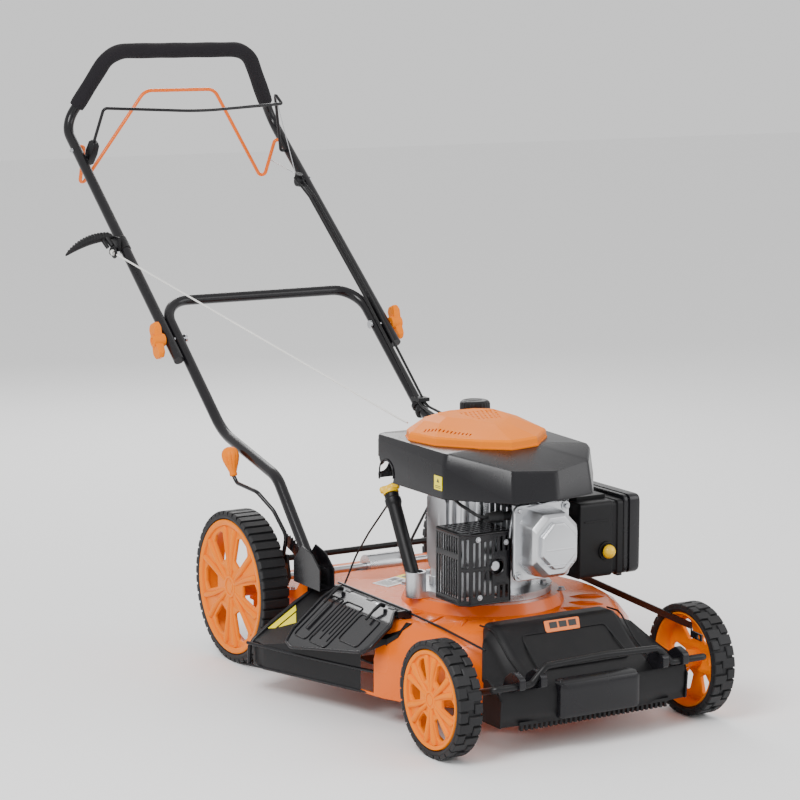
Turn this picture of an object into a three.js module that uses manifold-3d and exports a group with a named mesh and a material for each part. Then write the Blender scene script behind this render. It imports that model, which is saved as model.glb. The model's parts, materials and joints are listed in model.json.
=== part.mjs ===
// A petrol rotary lawn mower with a steel deck, side discharge, large rear wheels and a folding handle.
// Millimetres, +Z up. The mower faces -Y, and its discharge side is -X.
// Every sub-part is built about one datum: on the ground, on the centre line, midway between the axles.
// At the end the whole machine is shifted so that its box stands centred on the origin.

import * as THREE from "three";
import { LoftGeometry } from "three/addons/geometries/LoftGeometry.js";
import { mergeVertices } from "three/addons/utils/BufferGeometryUtils.js";
import Module from "manifold-3d";

const wasm = await Module();
wasm.setup();

// ---------------------------------------------------------------- driving dimensions

const gap = 0.4; // between pieces that touch
const running = 0.6; // between a turning piece and what holds it

const wheelbase = 745;
const frontWheel = { radius: 101.5, width: 47, rim: 86, outerFace: 287, facets: 26, bore: 7.6 };
const rearWheel = { radius: 147.5, width: 58, rim: 131, outerFace: 290, facets: 32, bore: 8.6 };
const spokes = 6;

const armBack = 99.5; // each wheel's spindle trails its pivot by this much
const armDrop = 31.5; // and hangs this far below it
const linkRise = 35; // the height link's pins stand above the pivots
const linkBack = 5;

const deck = {
  radius: 275, centreY: -88, skirt: 52, pan: 186, platform: 205, platformRadius: 142, sheet: 3,
  halfWidth: 212, rearEnd: 420, stepY: 215, stepZ: 158,
};
const cut = { radius: 256, z: 98, width: 52, thickness: 4 };

const handleTube = 11; // radius of the handle tubes
const lowerX = 230; // the lower handle's tubes, each side of the centre line
const handleSlope = 0.8; // rise over run of the straight handle tubes
const foldY = 703; // the fold bolts' axis
const foldZ = 588;
const foamRadius = 17.2;
const bolt = 4; // radius of the fold bolts

const crank = { y: -85, radius: 12.5 };
const belt = { z: 145, enginePulley: 26, gearPulley: 40, thickness: 6 };
const shroud = { halfWidth: 150, bottom: 402, top: 486, wall: 3 };
const frontEnd = -470; // the front face of the bumper

// ---------------------------------------------------------------- places worked out from them

const upperX = lowerX + 2 * handleTube + gap;
const handleZ = (y) => foldZ + handleSlope * (y - foldY);
const frontAxle = { y: -wheelbase / 2, z: frontWheel.radius };
const rearAxle = { y: wheelbase / 2, z: rearWheel.radius };
const frontPivot = { y: frontAxle.y - armBack, z: frontAxle.z + armDrop };
const rearPivot = { y: rearAxle.y - armBack, z: rearAxle.z + armDrop };
const frontPin = { y: frontPivot.y + linkBack, z: frontPivot.z + linkRise };
const rearPin = { y: rearPivot.y + linkBack, z: rearPivot.z + linkRise };
const linkTilt = Math.atan2(rearPin.z - frontPin.z, rearPin.y - frontPin.y);
const rearInner = rearWheel.outerFace - rearWheel.width;
const frontInner = frontWheel.outerFace - frontWheel.width;

// ---------------------------------------------------------------- solids

// A geometry with its shared vertices merged, no empty triangles and its faces pointing out.
function closed(geometry) {
  const bare = new THREE.BufferGeometry().setAttribute("position", geometry.attributes.position);
  if (geometry.index) bare.setIndex(geometry.index);
  const merged = mergeVertices(bare, 1e-3);
  const from = merged.index.array;
  const at = (i) => new THREE.Vector3().fromBufferAttribute(merged.attributes.position, i);
  const kept = [];
  let volume = 0;
  for (let i = 0; i < from.length; i += 3) {
    const [a, b, c] = [from[i], from[i + 1], from[i + 2]];
    if (a === b || b === c || c === a) continue;
    kept.push(a, b, c);
    volume += at(a).dot(at(b).cross(at(c)));
  }
  if (volume < 0) kept.reverse();
  merged.setIndex(kept);
  return merged;
}

function solid(geometry) {
  const body = closed(geometry);
  return new wasm.Manifold(
    new wasm.Mesh({
      numProp: 3,
      vertProperties: new Float32Array(body.attributes.position.array),
      triVerts: new Uint32Array(body.index.array),
    }),
  );
}

function geometryOf(body) {
  const mesh = body.getMesh();
  const geometry = new THREE.BufferGeometry();
  geometry.setAttribute("position", new THREE.BufferAttribute(new Float32Array(mesh.vertProperties), 3));
  geometry.setIndex(Array.from(mesh.triVerts));
  geometry.computeVertexNormals();
  return geometry;
}

const union = (...bodies) => bodies.reduce((sum, body) => sum.add(body));
const without = (body, ...cuts) => cuts.reduce((rest, piece) => rest.subtract(piece), body);

// A block between two corners.
function block(x0, x1, y0, y1, z0, z1) {
  const box = new THREE.BoxGeometry(Math.abs(x1 - x0), Math.abs(y1 - y0), Math.abs(z1 - z0));
  return solid(box.translate((x0 + x1) / 2, (y0 + y1) / 2, (z0 + z1) / 2));
}

// A cylinder from one point to another.
function rod(from, to, radius, sides = 16, endRadius = radius) {
  const a = new THREE.Vector3(...from);
  const b = new THREE.Vector3(...to);
  const bar = new THREE.CylinderGeometry(endRadius, radius, a.distanceTo(b), sides);
  const turn = new THREE.Quaternion().setFromUnitVectors(
    new THREE.Vector3(0, 1, 0),
    b.clone().sub(a).normalize(),
  );
  bar.applyQuaternion(turn);
  return solid(bar.translate(...a.add(b).multiplyScalar(0.5).toArray()));
}

// An outline extruded along one axis, between two values of it. The outline's points are given in
// the other two axes, in X, Y, Z order.
function prism(outline, axis, low, high) {
  const shape = new THREE.Shape(outline.map((p) => new THREE.Vector2(...p)));
  const body = new THREE.ExtrudeGeometry(shape, { depth: high - low, bevelEnabled: false, curveSegments: 6 });
  const [x, y, z] = [new THREE.Vector3(1, 0, 0), new THREE.Vector3(0, 1, 0), new THREE.Vector3(0, 0, 1)];
  const turn = new THREE.Matrix4();
  if (axis === "x") turn.makeBasis(y, z, x);
  if (axis === "y") turn.makeBasis(x, z, y.clone().negate());
  body.applyMatrix4(turn);
  const start = { x: [low, 0, 0], y: [0, high, 0], z: [0, 0, low] }[axis];
  return solid(body.translate(...start));
}

// A profile of [radius, height] points turned about an upright axis.
function turned(profile, segments, x = 0, y = 0) {
  const ring = profile.map((p) => new THREE.Vector2(...p));
  const onAxis = profile[0][0] === 0 && profile.at(-1)[0] === 0;
  if (!onAxis) ring.push(ring[0].clone());
  return solid(new THREE.LatheGeometry(ring, segments).rotateX(Math.PI / 2).translate(x, y, 0));
}

// A profile of [radius, distance] points turned about the X axis, with a flat at the bottom.
function turnedAcross(profile, segments) {
  const ring = profile.map((p) => new THREE.Vector2(...p));
  if (profile[0][0] !== 0) ring.push(ring[0].clone());
  const body = new THREE.LatheGeometry(ring, segments).rotateZ(-Math.PI / 2);
  return solid(body.rotateX(Math.PI / segments));
}

// A loft through outlines, each an array of [x, y, z], all turning the same way about the loft.
function loft(sections) {
  const rings = sections.map((ring) => ring.map((p) => new THREE.Vector3(...p)));
  const centre = (ring) => ring.reduce((sum, p) => sum.add(p), new THREE.Vector3()).divideScalar(ring.length);
  const along = centre(rings[1]).sub(centre(rings[0]));
  const facing = new THREE.Vector3();
  rings[0].forEach((p, i) => facing.add(p.clone().cross(rings[0][(i + 1) % rings[0].length])));
  if (facing.dot(along) < 0) rings.forEach((ring) => ring.reverse());
  return solid(new LoftGeometry(rings, { capStart: true, capEnd: true }));
}

// A path through listed points, each with the bend radius that rounds its corner.
class Route extends THREE.Curve {
  constructor(corners) {
    super();
    this.points = [];
    const at = corners.map((c) => new THREE.Vector3(c[0], c[1], c[2]));
    corners.forEach((corner, i) => {
      const radius = corner[3] ?? 0;
      if (i === 0 || i === corners.length - 1 || radius === 0) this.points.push(at[i]);
      else this.points.push(...arc(at[i - 1], at[i], at[i + 1], radius));
    });
  }
  getPoint(t) {
    const last = this.points.length - 1;
    const i = Math.min(Math.floor(t * last), last - 1);
    return this.points[i].clone().lerp(this.points[i + 1], t * last - i);
  }
  getSpacedPoints() {
    return this.points;
  }
  getTangentAt(u) {
    const last = this.points.length - 1;
    const i = Math.round(u * last);
    const before = this.points[Math.max(i - 1, 0)];
    const here = this.points[i];
    const after = this.points[Math.min(i + 1, last)];
    const into = here.clone().sub(before).normalize();
    return into.add(after.clone().sub(here).normalize()).normalize();
  }
}

function arc(before, corner, after, radius) {
  const into = corner.clone().sub(before).normalize();
  const out = after.clone().sub(corner).normalize();
  const angle = into.angleTo(out);
  const set = radius * Math.tan(angle / 2);
  const start = corner.clone().addScaledVector(into, -set);
  const end = corner.clone().addScaledVector(out, set);
  const centre = start.clone().add(end).multiplyScalar(0.5).sub(corner).normalize();
  centre.multiplyScalar(radius / Math.cos(angle / 2)).add(corner);
  const axis = into.clone().cross(out).normalize();
  const steps = Math.max(2, Math.ceil(angle / 0.45));
  const spoke = start.clone().sub(centre);
  return Array.from({ length: steps + 1 }, (_, i) =>
    spoke.clone().applyAxisAngle(axis, (angle * i) / steps).add(centre),
  );
}

function circle(radius, sides) {
  return Array.from({ length: sides }, (_, i) => {
    const angle = (2 * Math.PI * (i + 0.5)) / sides;
    return new THREE.Vector2(radius * Math.cos(angle), radius * Math.sin(angle));
  });
}

// A round bar or tube bent along a route.
function bent(corners, radius, sides = 10, hole = 0) {
  const route = new Route(corners);
  const shape = new THREE.Shape(circle(radius, sides));
  if (hole > 0) shape.holes.push(new THREE.Path(circle(hole, sides)));
  const steps = route.points.length - 1;
  return solid(new THREE.ExtrudeGeometry(shape, { extrudePath: route, steps, curveSegments: 1 }));
}

const both = (make) => union(make(-1), make(1));

// ---------------------------------------------------------------- finishes

const finishes = {
  orangeSteel: { color: 0xe8590c, roughness: 0.28, metalness: 0.1 },
  orangePlastic: { color: 0xf07c18, roughness: 0.42, metalness: 0 },
  blackPlastic: { color: 0x1c1d1f, roughness: 0.55, metalness: 0 },
  blackPaint: { color: 0x131418, roughness: 0.3, metalness: 0.2 },
  smokyPlastic: { color: 0x2a2c33, roughness: 0.22, metalness: 0 },
  rubber: { color: 0x202022, roughness: 0.85, metalness: 0 },
  foam: { color: 0x241f26, roughness: 0.95, metalness: 0 },
  castAluminium: { color: 0xb9bcc0, roughness: 0.42, metalness: 0.85 },
  steel: { color: 0x9a9da2, roughness: 0.35, metalness: 0.95 },
  blackenedSteel: { color: 0x26272a, roughness: 0.5, metalness: 0.7 },
  yellowPlastic: { color: 0xf5cf16, roughness: 0.4, metalness: 0 },
  rope: { color: 0xe4e2de, roughness: 0.9, metalness: 0 },
};

const machine = new THREE.Group();

function put(name, finish, body) {
  const mesh = new THREE.Mesh(geometryOf(body), new THREE.MeshStandardMaterial(finishes[finish]));
  mesh.name = name;
  machine.add(mesh);
}

// ---------------------------------------------------------------- deck

// The pan seen from outside: skirt, rounded shoulder, flat pan and raised engine platform.
function panProfile(grow) {
  const r = deck.radius + grow;
  const top = deck.pan + grow;
  return [
    [0, deck.skirt], [r, deck.skirt], [r, deck.pan - 66], [r - 7, deck.pan - 36],
    [r - 25, deck.pan - 12 + grow],
    [r - 46, top], [deck.platformRadius + 8 + grow, top],
    [deck.platformRadius + grow, deck.platform + grow], [0, deck.platform + grow],
  ];
}

// The tail of the deck between the rear wheels, as an outline in Y and Z.
function tailOutline(grow) {
  return [
    [deck.centreY, deck.skirt], [deck.rearEnd + grow, deck.skirt + 18],
    [deck.rearEnd + grow, deck.stepZ - 20],
    [deck.rearEnd - 20, deck.stepZ + grow], [deck.stepY + 28, deck.stepZ + grow],
    [deck.stepY, deck.pan + grow], [deck.centreY, deck.pan + grow],
  ];
}

function deckForm(grow) {
  const half = deck.halfWidth + grow;
  return union(
    turned(panProfile(grow), 30, 0, deck.centreY),
    prism(tailOutline(grow), "x", -half, half),
  );
}

const deckOuter = deckForm(0);
const deckClear = deckForm(gap);

function deckShell() {
  const hollow = deckForm(-deck.sheet);
  const underside = block(-400, 400, -500, deck.rearEnd - deck.sheet, 0, deck.skirt + 1);
  const tailFoot = block(-deck.halfWidth + deck.sheet, deck.halfWidth - deck.sheet,
    deck.centreY, deck.rearEnd - deck.sheet, deck.skirt - 10, deck.skirt + 25);
  const crankHole = rod([0, crank.y, 150], [0, crank.y, 240], 62, 24);
  const gearHole = block(-58, 58, rearPivot.y - 40, rearPivot.y + 40, deck.stepZ - 30, deck.stepZ + 40);
  const discharge = block(-deck.radius - 20, -150, -150, 72, deck.skirt + 6, 152);
  const ears = both((side) => prism(
    [[deck.rearEnd - 2, 102], [deck.rearEnd + 15, 102], [deck.rearEnd + 15, 128], [deck.rearEnd - 2, 128]],
    "x", side > 0 ? deck.halfWidth - 5 : -deck.halfWidth, side > 0 ? deck.halfWidth : -deck.halfWidth + 5,
  ));
  const shieldPins = rod([-300, shieldAxis.y, shieldAxis.z], [300, shieldAxis.y, shieldAxis.z],
    4 + running, 12);
  const shell = without(deckOuter, hollow, underside, tailFoot, crankHole, gearHole, discharge);
  return without(union(shell, ears), shieldPins);
}

const shieldAxis = { y: deck.rearEnd + 8, z: 115 };

function trailingShield() {
  const width = deck.halfWidth - 6;
  const sheet = block(-width, width, shieldAxis.y - 2, shieldAxis.y + 2, 22, shieldAxis.z);
  const bead = rod([-width, shieldAxis.y, shieldAxis.z], [width, shieldAxis.y, shieldAxis.z], 5, 10);
  const pins = rod([-width - 5, shieldAxis.y, shieldAxis.z], [width + 5, shieldAxis.y, shieldAxis.z], 4, 10);
  return union(sheet, bead, pins);
}

// ---------------------------------------------------------------- front moulding

const lugX = 168; // the two clips that hold the front axle
const axleRadius = 6;

function fascia() {
  const half = 195;
  const roof = frontPivot.z - 6;
  const outer = prism([
    [frontEnd + 16, deck.skirt + 4], [frontEnd + 10, roof - 20], [frontEnd + 30, roof],
    [frontEnd + 92, roof + 34],
    [frontEnd + 138, deck.pan + 14], [frontEnd + 178, deck.pan + 12], [frontEnd + 178, deck.skirt + 4],
  ], "x", -half, half);
  const plan = prism([
    [-half, frontEnd + 18], [-84, frontEnd], [84, frontEnd], [half, frontEnd + 18],
    [half, frontEnd + 70], [128, frontEnd + 178], [-128, frontEnd + 178], [-half, frontEnd + 70],
  ], "z", 0, 300);
  const hollow = prism([
    [frontEnd + 20, 0], [frontEnd + 14, roof - 22], [frontEnd + 32, roof - 4], [frontEnd + 94, roof + 30],
    [frontEnd + 140, deck.pan + 9], [frontEnd + 170, deck.pan + 8], [frontEnd + 170, 0],
  ], "x", -half + 4, half - 4);
  const bumper = without(
    prism([[frontEnd, 60], [frontEnd, roof], [frontEnd + 40, roof], [frontEnd + 40, 60]], "x", -84, 84),
    block(-80, 80, frontEnd + 4, frontEnd + 60, 0, roof - 4),
  );
  const lugs = both((side) => block(side * lugX - 8, side * lugX + 8,
    frontPivot.y - 12, frontEnd + 26, frontPivot.z - 32, frontPivot.z + 12));
  const axleHole = rod([-300, frontPivot.y, frontPivot.z], [300, frontPivot.y, frontPivot.z],
    axleRadius + running, 16);
  const shell = without(outer.intersect(plan), hollow, deckClear);
  return without(union(shell, bumper, lugs), axleHole, axleSweep());
}

// The room that the raised middle of the front axle needs as it swings.
function axleSweep() {
  return prism([
    [frontPivot.y - 22, frontPivot.z + 12.5], [frontPivot.y + 22, frontPivot.z + 12.5],
    [frontPivot.y + 22, frontPivot.z + 60], [frontPivot.y - 22, frontPivot.z + 60],
  ], "x", -150, 150);
}

// ---------------------------------------------------------------- wheels

function tyre(wheel, side) {
  const w = wheel.width / 2;
  const top = wheel.radius / Math.cos(Math.PI / wheel.facets);
  const seat = (wheel.rim + gap) / Math.cos(Math.PI / wheel.facets);
  const ring = [[seat, -w + 2], [top - 7, -w], [top, -w + 8], [top, w - 8], [top - 7, w], [seat, w - 2]];
  return turnedAcross(ring, wheel.facets).translate(side * (wheel.outerFace - w), 0, 0);
}

// A moulded rim: barrel, dished web with one window between spokes, and a hub closed by its cap.
function rim(wheel, side) {
  const w = wheel.width / 2;
  const hub = wheel.bore + 12;
  const web = wheel.rim - 7;
  const face = turnedAcross([
    [0, w - 10], [wheel.bore, w - 10], [wheel.bore, -w], [hub, -w], [hub, w - 14], [web, w - 14],
    [web, -w + 3], [wheel.rim, -w + 3], [wheel.rim, w - 1], [web - 2, w - 2], [web - 8, w - 7],
    [hub + 14, w - 7], [hub + 8, w - 2], [0, w - 2],
  ], 18);
  const windows = Array.from({ length: spokes }, (_, i) => {
    const angle = (2 * Math.PI * i) / spokes;
    const turn = ([along, across]) => [
      along * Math.sin(angle) + across * Math.cos(angle),
      along * Math.cos(angle) - across * Math.sin(angle),
    ];
    const [inner, outer] = [hub + 20, web - 10];
    const corners = [[inner, 0], [outer - 12, outer * 0.27], [outer, outer * 0.14],
      [outer, -outer * 0.14], [outer - 12, -outer * 0.27]];
    return prism(corners.map(turn), "x", w - 40, w + 5);
  });
  const body = without(face, ...windows);
  const faced = side > 0 ? body : body.scale([-1, 1, 1]);
  return faced.translate(side * (wheel.outerFace - w), 0, 0);
}

function wheelSet(name, wheel, axle, side) {
  put(`${name}_tyre`, "rubber", tyre(wheel, side).translate(0, axle.y, axle.z));
  put(`${name}_rim`, "orangePlastic", rim(wheel, side).translate(0, axle.y, axle.z));
}

// ---------------------------------------------------------------- height adjustment

const spindleEnd = (wheel) => wheel.outerFace - 11;
const armX = deck.halfWidth + 1.5; // inner face of each rear arm
const armPlate = 5;

function frontAxleRod() {
  const armAt = frontInner - 21;
  const half = (side) => [
    [side * spindleEnd(frontWheel), frontAxle.y, frontAxle.z],
    [side * armAt, frontAxle.y, frontAxle.z, 9],
    [side * armAt, frontPivot.y, frontPivot.z, 9],
    [side * (lugX - 22), frontPivot.y, frontPivot.z, 14],
    [side * (lugX - 52), frontPivot.y, frontPivot.z + 28, 20],
  ];
  const bar = bent([...half(-1), [0, frontPivot.y, frontPivot.z + 32, 400], ...half(1).reverse()],
    axleRadius, 8);
  const plate = prism([
    [frontPivot.y - 9, frontPivot.z - 4], [frontPivot.y + 9, frontPivot.z - 4],
    [frontPin.y + 8, frontPin.z + 7], [frontPin.y - 8, frontPin.z + 7],
  ], "x", armAt - 17, armAt - 13);
  const pin = rod([armAt - 14, frontPin.y, frontPin.z], [armAt - 6, frontPin.y, frontPin.z], 4, 12);
  return union(bar, plate, pin);
}

function heightLink() {
  const start = frontInner - 33;
  const mid = frontInner - 4.6;
  const end = armX + armPlate + gap;
  const y0 = frontPin.y - 9;
  const y1 = rearPin.y + 9;
  const thick = 3.4;
  const halfHeight = 6;
  const centreLine = [
    [start, y0], [start, frontPin.y + 22], [mid, frontPin.y + 60], [mid, 140], [end, 190], [end, y1],
  ];
  const outline = [...centreLine, ...centreLine.map(([x, y]) => [x + thick, y]).reverse()];
  const strip = prism(outline, "z", -halfHeight, halfHeight);
  const middleY = (frontPin.y + rearPin.y) / 2;
  const middleZ = (frontPin.z + rearPin.z) / 2;
  const tilted = strip.translate(0, -middleY, 0).rotate([(linkTilt * 180) / Math.PI, 0, 0])
    .translate(0, middleY, middleZ);
  const holes = union(
    rod([150, frontPin.y, frontPin.z], [260, frontPin.y, frontPin.z], 4 + running, 12),
    rod([150, rearPin.y, rearPin.z], [260, rearPin.y, rearPin.z], 4 + running, 12),
  );
  return without(tilted, holes);
}

function rearAxleArms() {
  const arm = (side) => {
    const inner = side > 0 ? armX : -armX - armPlate;
    const plate = prism([
      [rearPin.y - 12, rearPin.z + 9], [rearPin.y + 10, rearPin.z + 9],
      [rearAxle.y + 14, rearAxle.z + 6], [rearAxle.y + 8, rearAxle.z - 14],
      [rearPivot.y - 4, rearPivot.z - 16], [rearPivot.y - 16, rearPivot.z],
    ], "x", inner, inner + armPlate);
    const spindle = rod([side * (armX + 1), rearAxle.y, rearAxle.z],
      [side * spindleEnd(rearWheel), rearAxle.y, rearAxle.z], rearWheel.bore - running, 16);
    return union(plate, spindle);
  };
  const crossBar = rod([-armX - 1, rearPin.y, rearPin.z], [armX + 1, rearPin.y, rearPin.z], axleRadius, 12);
  const linkPin = rod([armX, rearPin.y, rearPin.z], [armX + armPlate + 5.5, rearPin.y, rearPin.z], 4, 12);
  const shaftHole = rod([-300, rearPivot.y, rearPivot.z], [300, rearPivot.y, rearPivot.z],
    shaftRadius + running, 16);
  return without(union(arm(-1), arm(1), crossBar, linkPin), shaftHole);
}

const leverRadius = 4;
const leverX = -(armX + armPlate + gap + leverRadius);
const knobFoot = [-260, rearPivot.y + 131, rearPivot.z + 178];
const knobTop = [-261, rearPivot.y + 149, rearPivot.z + 234];

function heightLever() {
  const quarter = [knobFoot[0] + 8, rearPivot.y + 48, rearPivot.z + 160, 22];
  return bent([
    [leverX, rearPin.y - 2, rearPin.z - 8], [leverX, rearPivot.y - 15, rearPivot.z + 83, 24],
    [leverX - 12, rearPivot.y + 14, rearPivot.z + 128, 40], quarter,
    [knobFoot[0] + 2, rearPivot.y + 121, rearPivot.z + 166, 14], knobFoot,
    knobTop.map((v, i) => knobFoot[i] + (v - knobFoot[i]) * 0.6),
  ], leverRadius, 10);
}

function leverKnob() {
  const profile = [[0, 0], [7, 0], [9, 12], [16.5, 34], [17, 44], [12, 54], [0, 58]];
  const ball = new THREE.LatheGeometry(profile.map((p) => new THREE.Vector2(...p)), 16);
  const up = new THREE.Vector3(...knobTop).sub(new THREE.Vector3(...knobFoot)).normalize();
  ball.applyQuaternion(new THREE.Quaternion().setFromUnitVectors(new THREE.Vector3(0, 1, 0), up));
  const end = new THREE.Vector3(...knobFoot).addScaledVector(up, 45).toArray();
  const start = new THREE.Vector3(...knobFoot).addScaledVector(up, -5).toArray();
  return without(solid(ball.translate(...knobFoot)), rod(start, end, leverRadius + gap, 12));
}

// The notched sector that the lever clicks into, with the tail that welds it to the handle bracket.
function heightQuadrant() {
  const point = (radius, degrees) => {
    const angle = (degrees * Math.PI) / 180;
    return [rearPivot.y + radius * Math.cos(angle), rearPivot.z + radius * Math.sin(angle)];
  };
  const outer = [];
  for (let i = 0; i <= 6; i++) {
    outer.push(point(84, 92 + i * 7));
    outer.push(point(78, 94.5 + i * 7));
  }
  const tail = [[180, deck.pan + 62], [180, deck.pan + 40]];
  const outline = [point(58, 92), ...outer, ...tail, point(58, 128), point(56, 110)];
  return prism(outline, "x", -deck.halfWidth - gap - 3, -deck.halfWidth - gap);
}

// ---------------------------------------------------------------- discharge side

const hinge = { x: -216, z: 196, radius: 4, front: -160, rear: 80 };

function chuteForm(inset) {
  const wallX = (y) => -250 - ((y + 187) / 297) * 101;
  const section = prism([
    [-200, 0], [-360, 0], [-360, 97 - inset], [-350, 100 - inset], [-214, 185 - inset], [-200, 185 - inset],
  ], "y", -187 + inset, 150 + (inset > 0 ? 10 : 0));
  const plan = prism([
    [-200, -187 + inset], [-238, -187 + inset], [wallX(-175) + inset, -175], [wallX(110) + inset, 110],
    [-351 + inset, 160], [-200, 160],
  ], "z", deck.skirt - (inset > 0 ? 10 : 0), 300);
  return section.intersect(plan);
}

function dischargeChute() {
  const hollow = union(chuteForm(3), block(-240, -190, -150, 160, deck.skirt - 10, 150));
  return without(chuteForm(0), hollow, deckClear);
}

function flapHinge() {
  const plate = block(hinge.x + 8, hinge.x + 22, hinge.front, hinge.rear, deck.pan - 30, hinge.z + 4);
  const lugs = union(
    block(hinge.x - 6, hinge.x + 10, hinge.front, hinge.front + 8, hinge.z - 6, hinge.z + 6),
    block(hinge.x - 6, hinge.x + 10, hinge.rear - 8, hinge.rear, hinge.z - 6, hinge.z + 6),
  );
  const pin = rod([hinge.x, hinge.front + 1, hinge.z], [hinge.x, hinge.rear - 1, hinge.z], hinge.radius, 12);
  return without(union(plate, lugs, pin), deckClear);
}

function dischargeFlap() {
  const skin = [
    [hinge.x - 3, hinge.z + 5], [hinge.x - 34, hinge.z - 10], [hinge.x - 74, hinge.z - 42],
    [hinge.x - 114, hinge.z - 74], [hinge.x - 124, hinge.z - 84],
  ];
  const outline = [...skin, ...skin.map(([x, z]) => [x - 1.6, z - 3.2]).reverse()];
  const curved = prism(outline, "y", -190, 72);
  const plan = prism([
    [hinge.x + 2, hinge.front + 10], [hinge.x - 8, hinge.front + 10], [-250, -184], [-292, -187],
    [-306, -174], [-341, 20],
    [-339, 50], [-312, 66], [hinge.x + 2, hinge.rear - 10],
  ], "z", 0, 300);
  const sleeve = rod([hinge.x, hinge.front + 10, hinge.z], [hinge.x, hinge.rear - 10, hinge.z], 7, 14);
  const bore = rod([hinge.x, -300, hinge.z], [hinge.x, 300, hinge.z], hinge.radius + running, 14);
  return without(union(curved.intersect(plan), sleeve), bore);
}

// ---------------------------------------------------------------- engine

function crankcase() {
  const flange = deck.platform + gap;
  const ring = turned([
    [crank.radius + 3, flange], [128, flange], [128, flange + 12], [92, flange + 14],
    [92, shroud.bottom - 8], [108, shroud.bottom - 6], [108, shroud.bottom - 1],
    [crank.radius + 3, shroud.bottom - 1],
  ], 24, 0, crank.y);
  const ear = union(
    rod([-143, -88, flange], [-143, -88, 252], 19, 16),
    block(-143, -90, -107, -69, flange, flange + 12),
  );
  const fillerSeat = rod(fillerFoot, fillerAt(40), fillerRadius + gap, 16);
  return without(union(ring, ear), fillerSeat, rod([-143, -88, 240], [-143, -88, 260], fillerRadius + 1, 16));
}

const fillerFoot = [-146, -88, 236];
const fillerTop = [-136, 11, 376];
const fillerRadius = 13;
const fillerLine = new THREE.Vector3(...fillerTop).sub(new THREE.Vector3(...fillerFoot));
const fillerAt = (distance) => new THREE.Vector3(...fillerFoot)
  .addScaledVector(fillerLine.clone().normalize(), distance).toArray();
const fillerLength = fillerLine.length();

function fillerTube() {
  const tube = rod(fillerAt(6), fillerAt(fillerLength), fillerRadius, 16);
  return without(tube, rod(fillerAt(-5), fillerAt(fillerLength + 5), fillerRadius - 4, 16));
}

function dipstick() {
  const stick = rod(fillerAt(40), fillerAt(fillerLength + 6), 2.5, 8);
  const plug = rod(fillerAt(fillerLength - 14), fillerAt(fillerLength + 4), fillerRadius - 4 - running, 14);
  const cap = rod(fillerAt(fillerLength + gap), fillerAt(fillerLength + 9), fillerRadius + 3, 16);
  const wing = rod(fillerAt(fillerLength + 8), fillerAt(fillerLength + 20), 9, 6);
  return union(stick, plug, cap, wing);
}

function finnedCylinder() {
  const back = crank.y - 92 - gap;
  const front = back - 96;
  const core = rod([0, back, 330], [0, front, 330], 38, 20);
  const fins = Array.from({ length: 4 }, (_, i) => {
    const y = back - 8 - i * 19;
    return block(-50, 50, y - 4, y, 272, 388);
  });
  return union(core, ...fins, block(-50, 50, front, front + 12, 266, 394));
}

const headFace = crank.y - 92 - gap - 96;

function rockerCover() {
  const y = headFace - gap;
  const corner = (half, low, high, cutOff) => [
    [-half, low + cutOff], [-half + cutOff, low], [half - cutOff, low], [half, low + cutOff],
    [half, high - cutOff], [half - cutOff, high], [-half + cutOff, high], [-half, high - cutOff],
  ];
  const flange = prism(corner(58, 260, 397, 12), "y", y - 9, y);
  const rings = [
    [y - 8, 50, 268, 389], [y - 52, 46, 274, 383], [y - 66, 36, 284, 374],
  ].map(([at, half, low, high]) => corner(half, low, high, 20).map(([x, z]) => [x, at, z]));
  return union(flange, loft(rings));
}

function sparkPlug() {
  const y = headFace + 22;
  const plug = rod([-50 - gap, y, 374], [-72, y, 374], 8, 12);
  const boot = rod([-66, y, 374], [-96, y, 374], 11, 12, 9);
  return union(plug, boot);
}

const guard = { x0: -152, x1: -54, y0: -265, y1: -172, z0: 222, z1: 352, wall: 3 };

function mufflerGuard() {
  const g = guard;
  const shell = without(
    prism([[g.x0, g.y1], [g.x0, g.y0 + 14], [g.x0 + 14, g.y0], [g.x1, g.y0], [g.x1, g.y1]], "z", g.z0, g.z1),
    block(g.x0 + g.wall, g.x1 - g.wall, g.y0 + g.wall + 8, g.y1 + 10, g.z0 + g.wall, g.z1 - g.wall),
    rod([g.x1 - 20, -205, 300], [g.x1 + 10, -205, 300], 19, 16),
    rod([g.x1 - 28, g.y0 - 5, 288], [g.x1 - 28, g.y0 + 20, 288], 13, 14),
  );
  const frontSlots = Array.from({ length: 3 }, (_, i) =>
    block(g.x0 + 22 + i * 12, g.x0 + 28 + i * 12, g.y0 - 5, g.y0 + 20, g.z0 + 14, g.z1 - 20));
  const sideSlots = Array.from({ length: 6 }, (_, i) =>
    block(g.x0 - 5, g.x0 + 10, g.y0 + 22 + i * 11, g.y0 + 27 + i * 11, g.z0 + 14, g.z1 - 20));
  const topSlots = Array.from({ length: 4 }, (_, i) =>
    block(g.x0 + 14 + i * 19, g.x0 + 26 + i * 19, g.y0 + 24, g.y0 + 60, g.z1 - 10, g.z1 + 5));
  return without(shell, ...frontSlots, ...sideSlots, ...topSlots);
}

function muffler() {
  const g = guard;
  const can = block(g.x0 + 10, g.x1 - 10, g.y0 + 20, g.y1 - 6, g.z0 + 12, g.z1 - 14);
  const inlet = rod([g.x1 - 11, -205, 300], [-50 - gap, -205, 300], 14, 14);
  const outlet = rod([g.x1 - 28, g.y0 + 6, 288], [g.x1 - 28, g.y0 + 24, 288], 9, 14);
  return union(can, inlet, outlet);
}

const airBox = { x0: 110, x1: 205, y0: -240, y1: -98, z0: 236, z1: 375, wall: 3 };
const primerX = 168;
const primerZ = 284;
const primerTravel = 6;

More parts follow.
